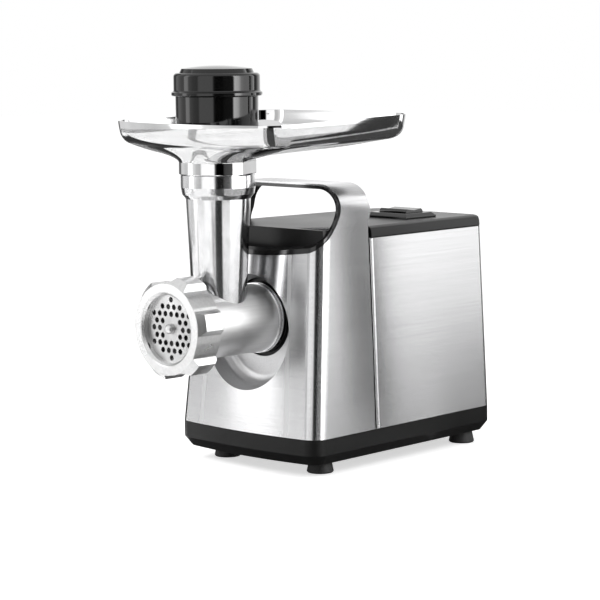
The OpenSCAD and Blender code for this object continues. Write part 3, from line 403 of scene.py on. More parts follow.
def apply_modifier(piece, kind, **settings):
    choose(piece)
    modifier = piece.modifiers.new(kind.lower(), kind)
    for key, value in settings.items():
        setattr(modifier, key, value)
    bpy.ops.object.modifier_apply(modifier=modifier.name)


def cut(piece, tool, operation="DIFFERENCE"):
    """Cuts a piece with a tool, joins it on, or keeps what they share."""
    apply_modifier(piece, "BOOLEAN", object=tool, operation=operation, solver="EXACT",
                   material_mode="TRANSFER")
    bpy.data.objects.remove(tool)


def slice_at(y, side=1, **settings):
    """Cuts through the open mesh at depth y; clear_inner drops what lies behind its side."""
    select_mesh()
    bpy.ops.mesh.bisect(plane_co=(0, y * MM, 0), plane_no=(0, side, 0), **settings)


def joined(name, parts):
    """Joins parts into one object without cutting them."""
    deselect()
    for part in parts:
        part.select_set(True)
    bpy.context.view_layer.objects.active = parts[0]
    bpy.ops.object.join()
    parts[0].name = parts[0].data.name = name
    return parts[0]


def clean(piece):
    """Merges what lies on itself after a cut."""
    edit(piece)
    select_mesh()
    bpy.ops.mesh.remove_doubles(threshold=0.004 * MM)
    bpy.ops.mesh.dissolve_degenerate(threshold=0.002 * MM)
    bpy.ops.mesh.select_all(action="DESELECT")
    done()


def ease_edges(piece, width, segments=2, angle=32):
    """Rounds every edge that is sharper than an angle."""
    apply_modifier(piece, "BEVEL", width=width * MM, segments=segments, limit_method="ANGLE",
                   angle_limit=math.radians(angle), harden_normals=False, use_clamp_overlap=True,
                   miter_outer="MITER_ARC")


def smooth(piece, angle=32):
    """Shades a piece smooth up to an angle between its faces."""
    choose(piece)
    bpy.ops.object.shade_smooth_by_angle(angle=math.radians(angle))
    apply_modifier(piece, "WEIGHTED_NORMAL", keep_sharp=True, weight=100)


def traced(node, name, edge, angle=30):
    """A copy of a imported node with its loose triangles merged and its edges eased."""
    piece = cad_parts[node].copy()
    piece.data = piece.data.copy()
    piece.parent = None
    piece.matrix_world = Matrix.Identity(4)
    piece.name = piece.data.name = name
    bpy.context.scene.collection.objects.link(piece)
    edit(piece)
    select_mesh()
    bpy.ops.mesh.remove_doubles(threshold=0.002 * MM)
    bpy.ops.mesh.dissolve_limited(angle_limit=math.radians(0.6))
    done()
    ease_edges(piece, edge, 3, angle)
    smooth(piece, angle)
    return piece


def finish_node(material, *nodes):
    """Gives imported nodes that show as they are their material."""
    for node in nodes:
        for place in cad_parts[node].material_slots:
            place.material = material


def dress(piece, material, body, slot, *nodes):
    """Gives a finished piece its material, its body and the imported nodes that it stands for."""
    piece.data.materials.clear()
    piece.data.materials.append(material)
    for face in piece.data.polygons:
        face.material_index = 0
    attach(piece, body)
    if nodes:
        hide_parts(*nodes)


def dress_part(piece, material, test):
    """Gives the faces of a dressed piece whose middle passes a test a second material."""
    piece.data.materials.append(material)
    for face in piece.data.polygons:
        if test(face.center):
            face.material_index = 1


def off_axis(point, z):
    """Distance of a point from the line along Y at height z, in millimetres."""
    return math.hypot(point.x / MM, point.z / MM - z)


# ------------------------------------------------------------ materials
def wire(material, source, output, target, socket):
    """Links two nodes of a material or a world."""
    material.node_tree.links.new(source.outputs[output], target.inputs[socket])


def add_node(material, kind, **values):
    """Adds a node; each value is a setting of it, or else one of its sockets."""
    made = material.node_tree.nodes.new("ShaderNode" + kind)
    for key, value in values.items():
        if hasattr(made, key):
            setattr(made, key, value)
        else:
            made.inputs[key.replace("_", " ")].default_value = value
    return made


def noise(material, stretch, detail=4.0, roughness=0.55):
    """Noise on Object coordinates; stretch is how many waves fit into a metre along X, Y and Z."""
    place = add_node(material, "TexCoord")
    scaled = add_node(material, "Mapping")
    scaled.inputs["Scale"].default_value = stretch
    wave = add_node(material, "TexNoise", Scale=1.0, Detail=detail, Roughness=roughness)
    wire(material, place, "Object", scaled, "Vector")
    wire(material, scaled, "Vector", wave, "Vector")
    return wave


def ranged(material, source, low, high):
    """A source from 0.3 to 0.7 mapped to low..high."""
    mapped = add_node(material, "MapRange", From_Min=0.3, From_Max=0.7, To_Min=low, To_Max=high)
    wire(material, source, 0, mapped, "Value")
    return mapped


def even(waves):
    """The same number of waves per metre along X, Y and Z."""
    return waves, waves, waves


def finish(name, dark, light, rough, grain, cloud, relief=0.0, metallic=0.0, brushed=None, **shader_values):
    """A material whose tone and relief follow a fine grain, and whose gloss follows a broad cloud.

    dark and light are the tones, rough the (low, high) roughness, grain and cloud the waves per
    metre along X, Y and Z, relief the depth of the grain in millimetres, brushed the axis that
    the brush marks run round.
    """
    material = bpy.data.materials.new(name)
    material.use_nodes = True
    shader = material.node_tree.nodes["Principled BSDF"]
    shader.inputs["Metallic"].default_value = metallic
    for key, value in shader_values.items():
        shader.inputs[key.replace("_", " ")].default_value = value
    fine = noise(material, grain, 5.0, 0.6)
    broad = noise(material, cloud, 3.0)
    tone = add_node(material, "MixRGB")
    tone.inputs["Color1"].default_value = (*dark, 1)
    tone.inputs["Color2"].default_value = (*light, 1)
    wire(material, ranged(material, fine, 0.0, 1.0), 0, tone, "Fac")
    wire(material, tone, 0, shader, "Base Color")
    wire(material, ranged(material, broad, *rough), 0, shader, "Roughness")
    if relief:
        bump = add_node(material, "Bump", Strength=1.0, Distance=relief * MM)
        wire(material, fine, 0, bump, "Height")
        wire(material, bump, 0, shader, "Normal")
    if brushed:
        tangent = add_node(material, "Tangent", direction_type="RADIAL", axis=brushed)
        wire(material, tangent, 0, shader, "Tangent")
    return material


def tones(low, high, tint=(1, 1, 1)):
    """The dark and the light tone of a tint."""
    return tuple(low * t for t in tint), tuple(high * t for t in tint)


COOL, COOLER = (1, 1, 1.005), (1, 1, 1.01)
steel_brushed = finish("brushed_steel", *tones(0.53, 0.60, COOLER), (0.21, 0.25), (9, 9, 2200), (6, 6, 12),
                       relief=0.0015, metallic=1.0, brushed="Z", Anisotropic=0.75, Anisotropic_Rotation=0.25)
steel_satin = finish("satin_steel", *tones(0.50, 0.58, COOLER), (0.34, 0.42), even(900), even(10),
                     relief=0.002, metallic=1.0)
steel_polished = finish("polished_steel", *tones(0.68, 0.74, COOL), (0.04, 0.075), even(60), even(9),
                        metallic=1.0)
steel_turned = finish("turned_steel", *tones(0.42, 0.60), (0.22, 0.34), even(60), even(40),
                      relief=0.004, metallic=1.0, brushed="Y", Anisotropic=0.4, Anisotropic_Rotation=0.25)
aluminium = finish("polished_aluminium", *tones(0.68, 0.78, COOLER), (0.10, 0.17), even(160), even(14),
                   relief=0.006, metallic=1.0)
aluminium_satin = finish("satin_aluminium", *tones(0.64, 0.74), (0.24, 0.32), even(420), even(20),
                         relief=0.006, metallic=1.0)
aluminium_brushed = finish("brushed_aluminium", *tones(0.72, 0.82), (0.34, 0.42), (500, 9, 500), (12, 6, 12),
                           relief=0.002, metallic=1.0)
black_gloss = finish("gloss_black_plastic", *tones(0.002, 0.005), (0.04, 0.08), even(900), even(10), relief=0.001)
black_satin = finish("satin_black_plastic", *tones(0.004, 0.009), (0.26, 0.38), even(1500), even(18),
                     relief=0.012, Specular_IOR_Level=0.2)
black_cover = finish("textured_black_plastic", *tones(0.004, 0.009), (0.30, 0.38), even(1700), even(12),
                     relief=0.014, Specular_IOR_Level=0.25)
black_lip = finish("glossy_lip_plastic", *tones(0.008, 0.014), (0.10, 0.16), even(900), even(14), relief=0.002)
rubber = finish("foot_rubber", *tones(0.008, 0.018), (0.50, 0.66), even(1200), even(40), relief=0.02)
zinc = finish("grey_zinc", *tones(0.42, 0.58), (0.30, 0.42), even(500), even(60), relief=0.01, metallic=1.0)
lamination = finish("motor_lamination", *tones(0.16, 0.30), (0.38, 0.50), (60, 2200, 60), even(30),
                    relief=0.03, metallic=1.0)
copper = finish("enamelled_copper", *tones(0.30, 0.62, (1, 0.42, 0.16)), (0.22, 0.34), (700, 700, 2600),
                even(30), relief=0.05, metallic=1.0)
bronze = finish("sintered_bronze", *tones(0.36, 0.56, (1, 0.66, 0.36)), (0.36, 0.5), even(1600), even(40),
                relief=0.02, metallic=1.0)
carbon = finish("brush_carbon", *tones(0.03, 0.07), (0.45, 0.6), even(1800), even(60), relief=0.02)
nylon = finish("gear_nylon", *tones(0.62, 0.70, (1, 0.97, 0.88)), (0.34, 0.46), even(700), even(40),
               relief=0.008, Subsurface_Weight=0.05)
circuit = finish("circuit_board", *tones(0.05, 0.12, (0.35, 1, 0.4)), (0.3, 0.4), even(600), even(80), relief=0.02)
white_plastic = finish("white_plastic", *tones(0.70, 0.76), (0.32, 0.42), even(900), even(30), relief=0.006)


# ----------------------------------------------------------- the pieces
def make_base():
    floor = BASE_Z + BASE_FLOOR
    base = solid("base", [body_plan(SEAM_Z, BEVEL_IN, BASE_Z), body_plan(SEAM_Z, 0, BEVEL_Z),
                          body_plan(SEAM_Z, 0, SEAM_Z), body_plan(SEAM_Z, BASE_WALL, SEAM_Z),
                          body_plan(SEAM_Z, BASE_WALL, BEVEL_Z + 2),
                          body_plan(SEAM_Z, BEVEL_IN + BASE_FLOOR, floor)])
    for i in range(-4, 5):
        x = i * VENT_PITCH
        cut(base, block("slot", (x - VENT_HALF, VENT_Y[0], BASE_Z - 1), (x + VENT_HALF, VENT_Y[1], floor + 1)))
    ease_edges(base, 0.7, 3, 25)
    smooth(base)
    dress(base, black_satin, "housing", "black_satin", "base_tray")


def make_feet():
    profile = rounded([(0, 0), (10.1, 0, 0.3), (10.9, 1, 0.5), (10.5, 3, 0.8), (9.3, 8.5), (9.3, BASE_Z),
                       (0, BASE_Z)])
    feet = joined("feet", [turned("foot", profile, (x, y, 0), steps=64) for x, y in FOOT_PLACES])
    smooth(feet)
    dress(feet, rubber, "housing", "foot_rubber", "feet")


def front_skin():
    """Outer skin of the front casing: where the body's plan, the arch and the side view meet."""
    skin = solid("front_shell", [body_plan(z, 0) for z in (SEAM_Z, ARCH_Z + 2)])
    skin.data.materials.append(bpy.data.materials.new("skin"))
    cut(skin, solid("arch", [arch_loop(y) for y in (FRONT_Y - 20, 12)]), "INTERSECT")
    side = solid("side", [side_loop(x) for x in (-100, 100)])
    side.data.materials.append(bpy.data.materials.new("opening"))
    cut(skin, side, "INTERSECT")
    return skin


def drop_faces(piece, test):
    """Deletes the faces that pass a test."""
    edit(piece)
    pick("FACE", test)
    bpy.ops.mesh.delete(type="FACE")
    done()


def make_front_casing():
    casing = front_skin()
    bowl = rounded([(0, DISH_Y), (40.5, DISH_Y, 7), (45.2, DISH_Y - 7, 7), (46.6, DISH_Y - 17, 8),
                    (DISH_R, DISH_Y - 37), (0, DISH_Y - 37)], 10)
    cut(casing, turned("dish", bowl, (0, 0, DISH_Z), "Y", 160))
    slots = [m.name if m else "" for m in casing.data.materials]
    drop_faces(casing, lambda f: slots[f.material_index] == "opening"
               or (f.normal.z < -0.9 and f.calc_center_median().z < (SEAM_Z + 1) * MM))
    clean(casing)
    apply_modifier(casing, "SOLIDIFY", thickness=SHEET * MM, offset=-1, use_even_offset=True)
    cut(casing, rod("socket", (0, AXIS_Z), SOCKET_R, FRONT_Y - 30, -20, 128))
    clean(casing)
    ease_edges(casing, 0.3, 2, 30)
    smooth(casing, 30)
    dress(casing, steel_brushed, "housing", "satin_steel", "front_casing")
    dress_part(casing, steel_satin, lambda p: off_axis(p, DISH_Z) < DISH_R - 0.1 and p.y < (DISH_Y + 8) * MM)


def make_handle_liner():
    liner = traced("handle_liner", "handle_lining", 1.0)
    dress(liner, black_lip, "housing", "black_satin", "handle_liner")


def make_rear_casing():
    casing = solid("rear_shell", [body_plan(z, 0) for z in (SEAM_Z, SHOULDER_Z)])
    drop_faces(casing, lambda f: abs(f.normal.z) > 0.9)
    edit(casing)
    slice_at(SEAM_GAP, clear_inner=True)
    for y in (CREASE_Y - 0.5, CREASE_Y, CREASE_Y + 0.5):
        slice_at(y)
    pick("VERT", lambda v: abs(v.co.y - CREASE_Y * MM) < 0.01 * MM)
    mesh = bmesh.from_edit_mesh(casing.data)
    for vert in mesh.verts:
        if vert.select:
            vert.co.x -= math.copysign(CREASE_DEPTH * MM, vert.co.x)
    bmesh.update_edit_mesh(casing.data)
    done()
    apply_modifier(casing, "SOLIDIFY", thickness=SHEET * MM, offset=-1, use_even_offset=True)
    cut(casing, rod("inlet", (INLET_X, INLET_Z), INLET_R, REAR_Y - 20, REAR_Y + 5, 64))
    ease_edges(casing, 0.25, 2, 24)
    smooth(casing, 24)
    dress(casing, steel_brushed, "housing", "satin_steel", "rear_casing")


def make_cover():
    rim = ((0.5, SHOULDER_Z + 0.1), (0, SHOULDER_Z + 1), (0.2, COVER_Z - 4), (1.0, COVER_Z - 1.2),
           (2.6, COVER_Z - 0.2), (4.0, COVER_Z), (4.6, COVER_Z - 0.5), (5.2, COVER_Z - 0.5), (5.8, COVER_Z))
    cover = solid("cover", [body_plan(z, inset) for inset, z in rim])
    edit(cover)
    slice_at(HANDLE_FLARE + 0.3, clear_inner=True, use_fill=True)
    done()
    inner = SHEET + LINER + 0.3
    front = solid("cover_front", [body_plan(z, inner) for z in (OPENING_Z - 5, COVER_Z)])
    edit(front)
    for y, side in ((COVER_FRONT_Y, 1), (HANDLE_FLARE + 3, -1)):
        slice_at(y, side, clear_inner=True, use_fill=True)
    done()
    cut(cover, front, "UNION")
    cut(cover, solid("ledge", [body_plan(z, inner) for z in (OPENING_Z - 8, OPENING_Z - 5)]), "UNION")
    x, y = (BEZEL_LOW.x + BEZEL_HIGH.x) / 2, (BEZEL_LOW.y + BEZEL_HIGH.y) / 2
    half, deep = SWITCH_HOLE
    cut(cover, block("switch_hole", (x - half, y - deep, OPENING_Z - 20), (x + half, y + deep, OPENING_Z + 40)))
    ease_edges(cover, 0.5, 3, 28)
    smooth(cover, 28)
    dress(cover, black_cover, "housing", "black_gloss", "top_cover")


def make_head():
    barrel = turned("head", rounded([
        (BARREL_BORE, THREAD_Y), (30, THREAD_Y, 0.4), (THREAD_R, THREAD_Y, 0.8), (THREAD_R, THREAD_Y + 14),
        (BARREL_R, THREAD_Y + 20, 2), (BARREL_R, STOP_Y - 6.6, 0.3), (28.5, STOP_Y - 6.6, 0.3),
        (28.5, STOP_Y - 5.2, 0.3), (27.3, STOP_Y - 5.2, 0.2), (27.3, STOP_Y - 3.6, 0.2),
        (FLANGE_R, STOP_Y - 3.6, 0.4), (FLANGE_R, STOP_Y, 0.5), (27, STOP_Y, 0.3), (27, TAIL_Y),
        (9.1, TAIL_Y), (9.1, TAIL_Y - 4), (BARREL_BORE, TAIL_Y - 4)]), (0, 0, AXIS_Z), "Y", 128, ring=True)
    tube = turned("tube", rounded([
        (0, AXIS_Z), (TUBE_FOOT_R, AXIS_Z), (TUBE_R, MOUTH_Z - 19), (28.6, MOUTH_Z - 15.4, 3),
        (COLLAR_R, MOUTH_Z - 10, 2), (COLLAR_R, MOUTH_Z, 0.6), (COLLAR_BORE, MOUTH_Z),
        (COLLAR_BORE, MOUTH_Z - 12.3), (PUSHER_BORE, MOUTH_Z - 12.3), (PUSHER_BORE, AXIS_Z + 10),
        (0, AXIS_Z + 10)]), (0, TUBE_Y, 0), "Z", 128)
    cut(barrel, tube, "UNION")
    tube_foot = Vector((0, TUBE_Y * MM, AXIS_Z * MM))
    edit(barrel)
    pick("EDGE", lambda e: len(e.link_faces) == 2 and e.calc_face_angle(0) > math.radians(14)
         and not e.is_convex and min(v.co.z for v in e.verts) > (AXIS_Z + 8) * MM
         and (e.verts[0].co - tube_foot).xy.length < 25.5 * MM
         and max(off_axis(v.co, AXIS_Z) for v in e.verts) > 27)
    bpy.ops.mesh.bevel(offset=FILLET * MM, segments=4, affect="EDGES", clamp_overlap=True)
    done()
    smooth(barrel, 30)
    dress(barrel, aluminium, "head", "cast_aluminium", "grinder_head")
    dress_part(barrel, aluminium_brushed, lambda p: off_axis(p, AXIS_Z) < BARREL_R + 0.1)


def make_ring_nut():
    front, back = NUT_LOW.y, NUT_HIGH.y
    nut = turned("nut", rounded([
        (NUT_BORE, front + 5.9), (NUT_BORE, front + 2, 0.5), (28.6, front + 0.3, 0.3), (29.4, front, 0.3),
        (35.8, front, 0.25), (NUT_FACE_R, front + 0.5, 0.25), (NUT_R, front + 5.6, 0.5), (NUT_R, back - 2, 1),
        (39, back, 0.5), (NUT_THREAD_R, back), (NUT_THREAD_R, front + 5.9)]), (0, 0, AXIS_Z), "Y", 144, ring=True)
    corners = []
    for i in range(LOBES):
        for radius, turn, *rounding in NUT_LOBE:
            angle = math.radians(i * 360 / LOBES + turn + NUT_PHASE)
            corners.append((radius * math.cos(angle), radius * math.sin(angle), *rounding))
    outline = rounded(corners, 4)
    lobes = solid("lobes", [[(x, y, AXIS_Z + z) for x, z in outline] for y in (front - 1, back + 1)])
    cut(nut, lobes, "INTERSECT")
    clean(nut)
    ease_edges(nut, 0.3, 2, 24)
    smooth(nut, 24)
    dress(nut, aluminium_satin, "ring_nut", "cast_aluminium", "ring_nut")


def tray_loop(drop, inset):
    """Loop of the pan, drop below its rim and tilted with it about the tube's axis."""
    outline = bowed_outline(TRAY_HALF - inset, TRAY_REAR_HALF - inset, TRAY_FRONT_Y + inset, TRAY_REAR_Y - inset,
                            TRAY_FRONT_R - inset * 0.5, TRAY_REAR_R - inset * 0.5, TRAY_BOW)
    slope = math.tan(math.radians(TRAY_TILT))
    return [(x, y, TRAY_Z - drop + (y - TUBE_Y) * slope) for x, y in outline]


def neck_loop(pan, radius, z):
    """Circle round the tube whose points lie in the directions of the pan's."""
    loop = []
    for x, y, _ in pan:
        length = math.hypot(x, y - TUBE_Y)
        loop.append((x / length * radius, TUBE_Y + (y - TUBE_Y) / length * radius, z))
    return loop


def pan_slope(pan, radius, z, belly, steps=12):
    """Loops from the pan's edge down to the neck, hollowed or bellied on the way."""
    neck = neck_loop(pan, radius, z)
    loops = []
    for i in range(1, steps):
        t = i / steps
        bulge = belly * math.sin(math.pi * t) * (1 - t)
        loops.append([(between(a[0], b[0], t), between(a[1], b[1], t), between(a[2], b[2], t) - bulge)
                      for a, b in zip(pan, neck)])
    return loops


def make_tray():
    skin = TRAY_T * 0.6
    bore = SPIGOT_R - 1.8
    outer_edge = tray_loop(PAN_DROP, PAN_IN)
    inner_edge = tray_loop(PAN_DROP - TRAY_T, PAN_IN + skin)
    # outside: spigot, neck, underside of the pan and wall
    loops = [neck_loop(outer_edge, r, z) for r, z in
             ((SPIGOT_R - 0.5, SPIGOT_Z), (SPIGOT_R, SPIGOT_Z + 0.5), (SPIGOT_R, MOUTH_Z - 0.2),
              (SPIGOT_R, MOUTH_Z + 0.3), (NECK_R - 0.5, MOUTH_Z + 0.3), (NECK_R, MOUTH_Z + 0.8),
              (NECK_R, NECK_Z - 1.2), (NECK_R + 0.1, NECK_Z - 0.3))]
    loops += reversed(pan_slope(outer_edge, NECK_R, NECK_Z, PAN_BELLY))
    loops += [tray_loop(drop, inset) for inset, drop in reversed(TRAY_WALL)]
    # over the rim, and inside: wall, pan and neck
    loops += [tray_loop(0.12, 0.12), tray_loop(0, 0.45), tray_loop(0.05, 0.75), tray_loop(0.4, skin)]
    loops += [tray_loop(drop - TRAY_T, inset + skin) for inset, drop in TRAY_WALL[2:]]
    loops += pan_slope(inner_edge, NECK_R - 1, NECK_Z + TRAY_T, PAN_BELLY)
    loops += [neck_loop(outer_edge, r, z) for r, z in
              ((NECK_R - 1.2, NECK_Z + TRAY_T), (bore + 1, NECK_Z + TRAY_T - 0.4),
               (bore, NECK_Z + TRAY_T - 1.4), (bore, SPIGOT_Z + 0.4), (bore + 0.4, SPIGOT_Z))]
    loops.append(loops[0])
    tray = solid("tray", loops, filled=False)
    edit(tray)
    select_mesh()
    bpy.ops.mesh.remove_doubles(threshold=0.002 * MM)
    bpy.ops.mesh.normals_make_consistent(inside=False)
    done()
    smooth(tray, 40)
    dress(tray, steel_polished, "tray", "polished_steel", "feed_tray")


def make_pusher():
    pusher = turned("pusher_cup", rounded([
        (0, STEM_Z), (STEM_BORE, STEM_Z, 1.5), (STEM_R, STEM_Z + 2, 1), (STEM_R, CUP_Z), (28.4, CUP_Z, 1),
        (CUP_R, CUP_SHOULDER_Z, 2), (CUP_R + 0.3, CUP_TOP_Z, 0.3), (CUP_R - CUP_WALL, CUP_TOP_Z),
        (CUP_R - CUP_WALL, CUP_SHOULDER_Z + 1.9), (26.4, CUP_Z + CUP_WALL), (STEM_BORE, CUP_Z + CUP_WALL),
        (STEM_BORE, STEM_Z + 3), (0, STEM_Z + 3)]), (0, TUBE_Y, 0), "Z", 128)
    smooth(pusher, 30)
    dress(pusher, black_gloss, "pusher", "black_gloss", "pusher")


def make_lid():
    rim = rounded([(0, LID_Z + 0.1), (35.3, LID_Z, 0.2), (LID_RIM_R, LID_Z + 0.6, 0.3),
                   (LID_RIM_R, LID_Z + 2.6, 0.4), (LID_R + 0.5, LID_Z + 3.5, 0.4), (LID_R, LID_Z + 4.3, 0.4),
                   (LID_R, LID_TOP - 3.4, 3)], 8)
    dome = []
    for i in range(1, DOME_STEPS + 1):
        out = 1 - i / DOME_STEPS
        dome.append((DOME_R * out, LID_TOP - DOME_RISE * out**2))
    lid = turned("lid", rim + dome, (0, TUBE_Y, 0), "Z", 128)
    smooth(lid, 30)
    dress(lid, black_gloss, "lid", "black_gloss", "pusher_lid")


def make_small_pieces():
    """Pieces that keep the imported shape, with eased edges."""
    for node, name, edge, material, body, slot in (
            ("cutting_plate", "plate_with_holes", 0.15, steel_turned, "plate", "satin_steel"),
            ("cutter_knife", "four_blade_knife", 0.2, steel_turned, "auger", "satin_steel"),
            ("auger", "feed_screw", 0.3, aluminium_satin, "auger", "cast_aluminium"),
            ("switch_bezel", "switch_surround", 0.35, black_gloss, "housing", "black_gloss"),
            ("rocker_switch", "switch_rocker", 0.3, black_gloss, "rocker", "black_gloss"),
            ("socket_collar", "socket_ring", 0.3, black_satin, "housing", "black_satin"),
            ("seam_strip", "seam_line", 0.2, black_satin, "housing", "black_satin"),
            ("cord_inlet", "cord_entry", 0.3, black_satin, "housing", "black_satin")):
        dress(traced(node, name, edge), material, body, slot, node)


def finish_hidden_nodes():
    """Materials of the pieces that are out of sight while the grinder is whole."""
    finish_node(steel_turned, "plate_key", "foot_screws", "collar_screws", "gearbox_screws", "gear_pins",
                "motor_pinion", "motor_shaft", "motor_bearings", "motor_bolts")
    finish_node(black_satin, "switch_body", "cooling_fan", "motor_front_bracket", "motor_rear_bracket")
    finish_node(zinc, "gearbox_housing", "gearbox_cover")
    finish_node(nylon, "output_wheel", "second_wheel", "first_wheel")
    finish_node(bronze, "output_bushes")
    finish_node(copper, "commutator", "field_coils")
    finish_node(lamination, "stator", "armature")
    finish_node(carbon, "carbon_brushes")
    finish_node(circuit, "control_board")
    finish_node(white_plastic, "terminal_block", "auger_bush")


make_base()
make_feet()
make_front_casing()
make_handle_liner()
make_rear_casing()
make_cover()
make_head()
make_ring_nut()
make_tray()
make_pusher()
make_lid()
make_small_pieces()
finish_hidden_nodes()


# --------------------------------------------------- stage and camera
CAMERA_AT = (1.3252, -1.3613, 0.3563)   # metres
CAMERA_RIGHT = (0.7150, 0.6991, -0.0079)
CAMERA_UP = (-0.0768, 0.0897, 0.9930)
CAMERA_BACK = (0.6949, -0.7094, 0.1178)
CAMERA_TURN = math.degrees(math.atan2(CAMERA_AT[1], CAMERA_AT[0]))
SENSOR, LENS = 36, 139.2126             # millimetres
FLOOR_TONE, FLOOR_GLOW, FLOOR_MIRRORED = 0.86, 0.62, 0.4
WORLD_LEVEL = 0.55                      # light of the world where neither camera nor gloss looks at it
LAMP_AIM = Vector((0, 0, 0.1))
WALL_R, WALL_LOW, WALL_HIGH = 1.5, -0.05, 1.25
MAT_R, MAT_GLOW, FLOOR_SPREAD = 0.115, 0.1, 13
SIDE_CARD = (243, 225, -5), (283, 245, 420)

# Glow of the studio's wall by direction, in degrees to the right of the camera's
STUDIO_WALL = ((-180, 1.2), (-160, 1.0), (-148, 0.15), (-134, 0.15), (-126, 0.8), (-118, 0.9), (-100, 0.75),
               (-92, 0.9), (-89, 2.9), (-79, 2.9), (-75, 1.1), (-62, 0.7), (-50, 0.6), (-46, 1.4), (-12, 1.4),
               (-8, 0.1), (-4, 0.0), (14, 0.0), (18, 0.06), (42, 0.1), (46, 9.0), (58, 7.0), (66, 3.2),
               (76, 2.4), (84, 2.2), (102, 1.9), (108, 1.4), (111, 3.0), (115, 3.0), (119, 0.2), (129, 0.2),
               (138, 0.8), (155, 1.2), (180, 1.2))
# Glow of the floor's sectors, each from its direction on to the next one
FLOOR_SECTORS = ((-180, 0.8), (-150, 0.03), (-120, 1.75), (-12, 0.02), (12, 1.6), (100, 0.03), (135, 0.8))


def backdrop_material(name, tone, glow):
    """White to the camera and in reflections, and otherwise a plain matt floor that keeps shadows."""
    material = bpy.data.materials.new(name)
    material.use_nodes = True
    shader = material.node_tree.nodes["Principled BSDF"]
    speck = noise(material, even(40))
    wire(material, ranged(material, speck, tone - 0.005, tone + 0.005), 0, shader, "Base Color")
    shader.inputs["Roughness"].default_value = 0.9
    shader.inputs["Specular IOR Level"].default_value = 0.0
    path = add_node(material, "LightPath")
    mirrored = add_node(material, "Math", operation="MULTIPLY")
    mirrored.inputs[1].default_value = FLOOR_MIRRORED
    wire(material, path, "Is Glossy Ray", mirrored, 0)
    shown = add_node(material, "Math", operation="MAXIMUM")
    wire(material, path, "Is Camera Ray", shown, 0)
    wire(material, mirrored, 0, shown, 1)
    seen = add_node(material, "Math", operation="MULTIPLY")
    seen.inputs[1].default_value = glow
    wire(material, shown, 0, seen, 0)
    shader.inputs["Emission Color"].default_value = (1, 1, 1, 1)
    wire(material, seen, 0, shader, "Emission Strength")
    return material


def glow_material(name, strength):
    """Plain light of one strength."""
    material = bpy.data.materials.new(name)
    material.use_nodes = True
    material.node_tree.nodes.clear()
    light = add_node(material, "Emission", Strength=strength)
    out = add_node(material, "OutputMaterial")
    wire(material, light, 0, out, "Surface")
    return material


def camera_turn(point):
    """Direction of a point in degrees to the right of the camera's, from -180 to 180."""
    return (math.degrees(math.atan2(point.y, point.x)) - CAMERA_TURN + 180) % 360 - 180


def wall_glow(turn):
    """Glow of the studio's wall in a direction."""
    for (a, low), (b, high) in zip(STUDIO_WALL, STUDIO_WALL[1:]):
        if a <= turn <= b:
            return between(low, high, (turn - a) / (b - a))
    return STUDIO_WALL[0][1]


def floor_glow(turn):
    """Glow of the floor's last sector that starts before a direction."""
    return [glow for start, glow in FLOOR_SECTORS if start <= turn][-1]


def attribute_glow(name):
    """Light whose strength is the mesh's own attribute "glow"."""
    material = glow_material(name, 1.0)
    strength = add_node(material, "Attribute", attribute_name="glow")
    wire(material, strength, "Fac", material.node_tree.nodes["Emission"], "Strength")
    return material


def only_reflected(piece):
    """Hides a stage piece from everything but reflections."""
    for sort in ("camera", "diffuse", "shadow", "transmission", "volume_scatter"):
        setattr(piece, "visible_" + sort, False)


def make_studio_wall():
    """A round wall of light and dark panels that only shows in reflections."""
    deselect()
    bpy.ops.mesh.primitive_cylinder_add(vertices=360, radius=WALL_R, depth=WALL_HIGH - WALL_LOW,
                                        end_fill_type="NOTHING", location=(0, 0, (WALL_LOW + WALL_HIGH) / 2))
    wall = added("studio_wall")
    glow = wall.data.attributes.new("glow", "FLOAT", "POINT")
    for i, vert in enumerate(wall.data.vertices):
        glow.data[i].value = wall_glow(camera_turn(vert.co))
    wall.data.materials.append(attribute_glow("studio_panels"))
    only_reflected(wall)


def make_side_card():
    """A dark upright card beside the grinder that only shows in its steel side."""
    card = block("side_card", *SIDE_CARD)
    card.data.materials.append(glow_material("side_card_glow", 0.05))
    only_reflected(card)


def make_floor_panels():
    """Light and dark sectors of floor round a dark mat, which only show in reflections."""
    deselect()
    bpy.ops.mesh.primitive_circle_add(vertices=180, radius=MAT_R, fill_type="NGON", location=(0, 0, -0.0001))
    panels = bpy.context.active_object
    edit(panels)
    pick("EDGE", lambda e: True)
    bpy.ops.mesh.extrude_region()
    bpy.ops.transform.resize(value=(FLOOR_SPREAD, FLOOR_SPREAD, 1), center_override=(0, 0, 0))
    done()
    panels.name = panels.data.name = "floor_panels"
    glow = panels.data.attributes.new("glow", "FLOAT", "FACE")
    for i, face in enumerate(panels.data.polygons):
        glow.data[i].value = floor_glow(camera_turn(face.center)) if len(face.vertices) == 4 else MAT_GLOW
    panels.data.materials.append(attribute_glow("floor_sectors"))
    only_reflected(panels)


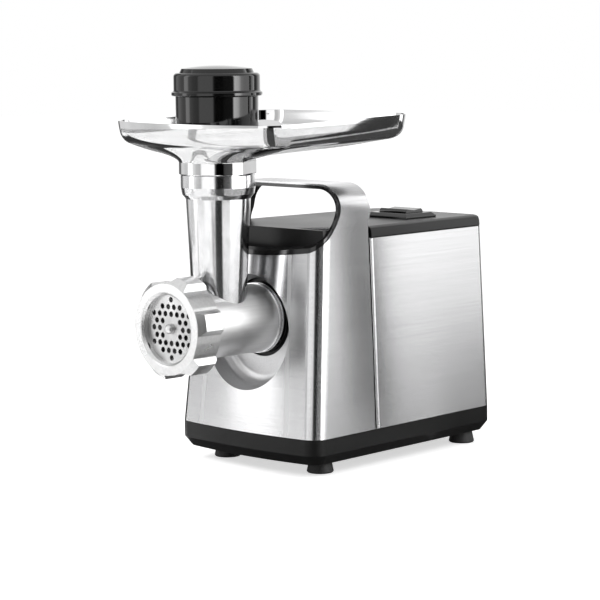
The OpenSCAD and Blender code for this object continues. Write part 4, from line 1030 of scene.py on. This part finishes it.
def make_floor():
    deselect()
    bpy.ops.mesh.primitive_plane_add(size=12, location=(0, 0, -0.0002))
    floor = bpy.context.active_object
    floor.name = "floor"
    floor.data.materials.append(backdrop_material("floor", FLOOR_TONE, FLOOR_GLOW))


def make_world():
    """White to the camera, in reflections and through glass, and a plain level of light otherwise."""
    world = bpy.data.worlds.new("studio")
    bpy.context.scene.world = world
    world.use_nodes = True
    path = add_node(world, "LightPath")
    shown = add_node(world, "Math", operation="ADD", use_clamp=True)
    wire(world, path, "Is Camera Ray", shown, 0)
    wire(world, path, "Is Glossy Ray", shown, 1)
    clear = add_node(world, "Math", operation="ADD", use_clamp=True)
    wire(world, shown, 0, clear, 0)
    wire(world, path, "Is Transmission Ray", clear, 1)
    level = add_node(world, "MapRange", To_Min=WORLD_LEVEL, To_Max=1.0)
    wire(world, clear, 0, level, "Value")
    back = world.node_tree.nodes["Background"]
    back.inputs["Color"].default_value = (1, 1, 1, 1)
    wire(world, level, 0, back, "Strength")


def make_lamps():
    for name, turn, height, energy, size in (("key_lamp", -75, 1.3, 16, 0.9), ("fill_lamp", 60, 1.2, 9, 0.9),
                                             ("top_lamp", 10, 2.2, 12, 1.6)):
        angle = math.radians(CAMERA_TURN + turn)
        deselect()
        bpy.ops.object.light_add(type="AREA", location=(WALL_R * math.cos(angle), WALL_R * math.sin(angle), height))
        lamp = bpy.context.active_object
        lamp.name = name
        lamp.data.energy = energy
        lamp.data.size = size
        lamp.visible_glossy = False
        lamp.rotation_euler = (LAMP_AIM - lamp.location).to_track_quat("-Z", "Y").to_euler()


def make_camera():
    turn = Matrix((CAMERA_RIGHT, CAMERA_UP, CAMERA_BACK)).transposed().to_4x4()
    deselect()
    bpy.ops.object.camera_add()
    camera = bpy.context.active_object
    camera.matrix_world = Matrix.Translation(CAMERA_AT) @ turn
    camera.data.sensor_width = SENSOR
    camera.data.lens = LENS
    camera.data.clip_start = 0.05
    bpy.context.scene.camera = camera


make_floor()
make_world()
make_lamps()
make_studio_wall()
make_side_card()
make_floor_panels()
make_camera()
bpy.context.scene.view_settings.view_transform = "Standard"
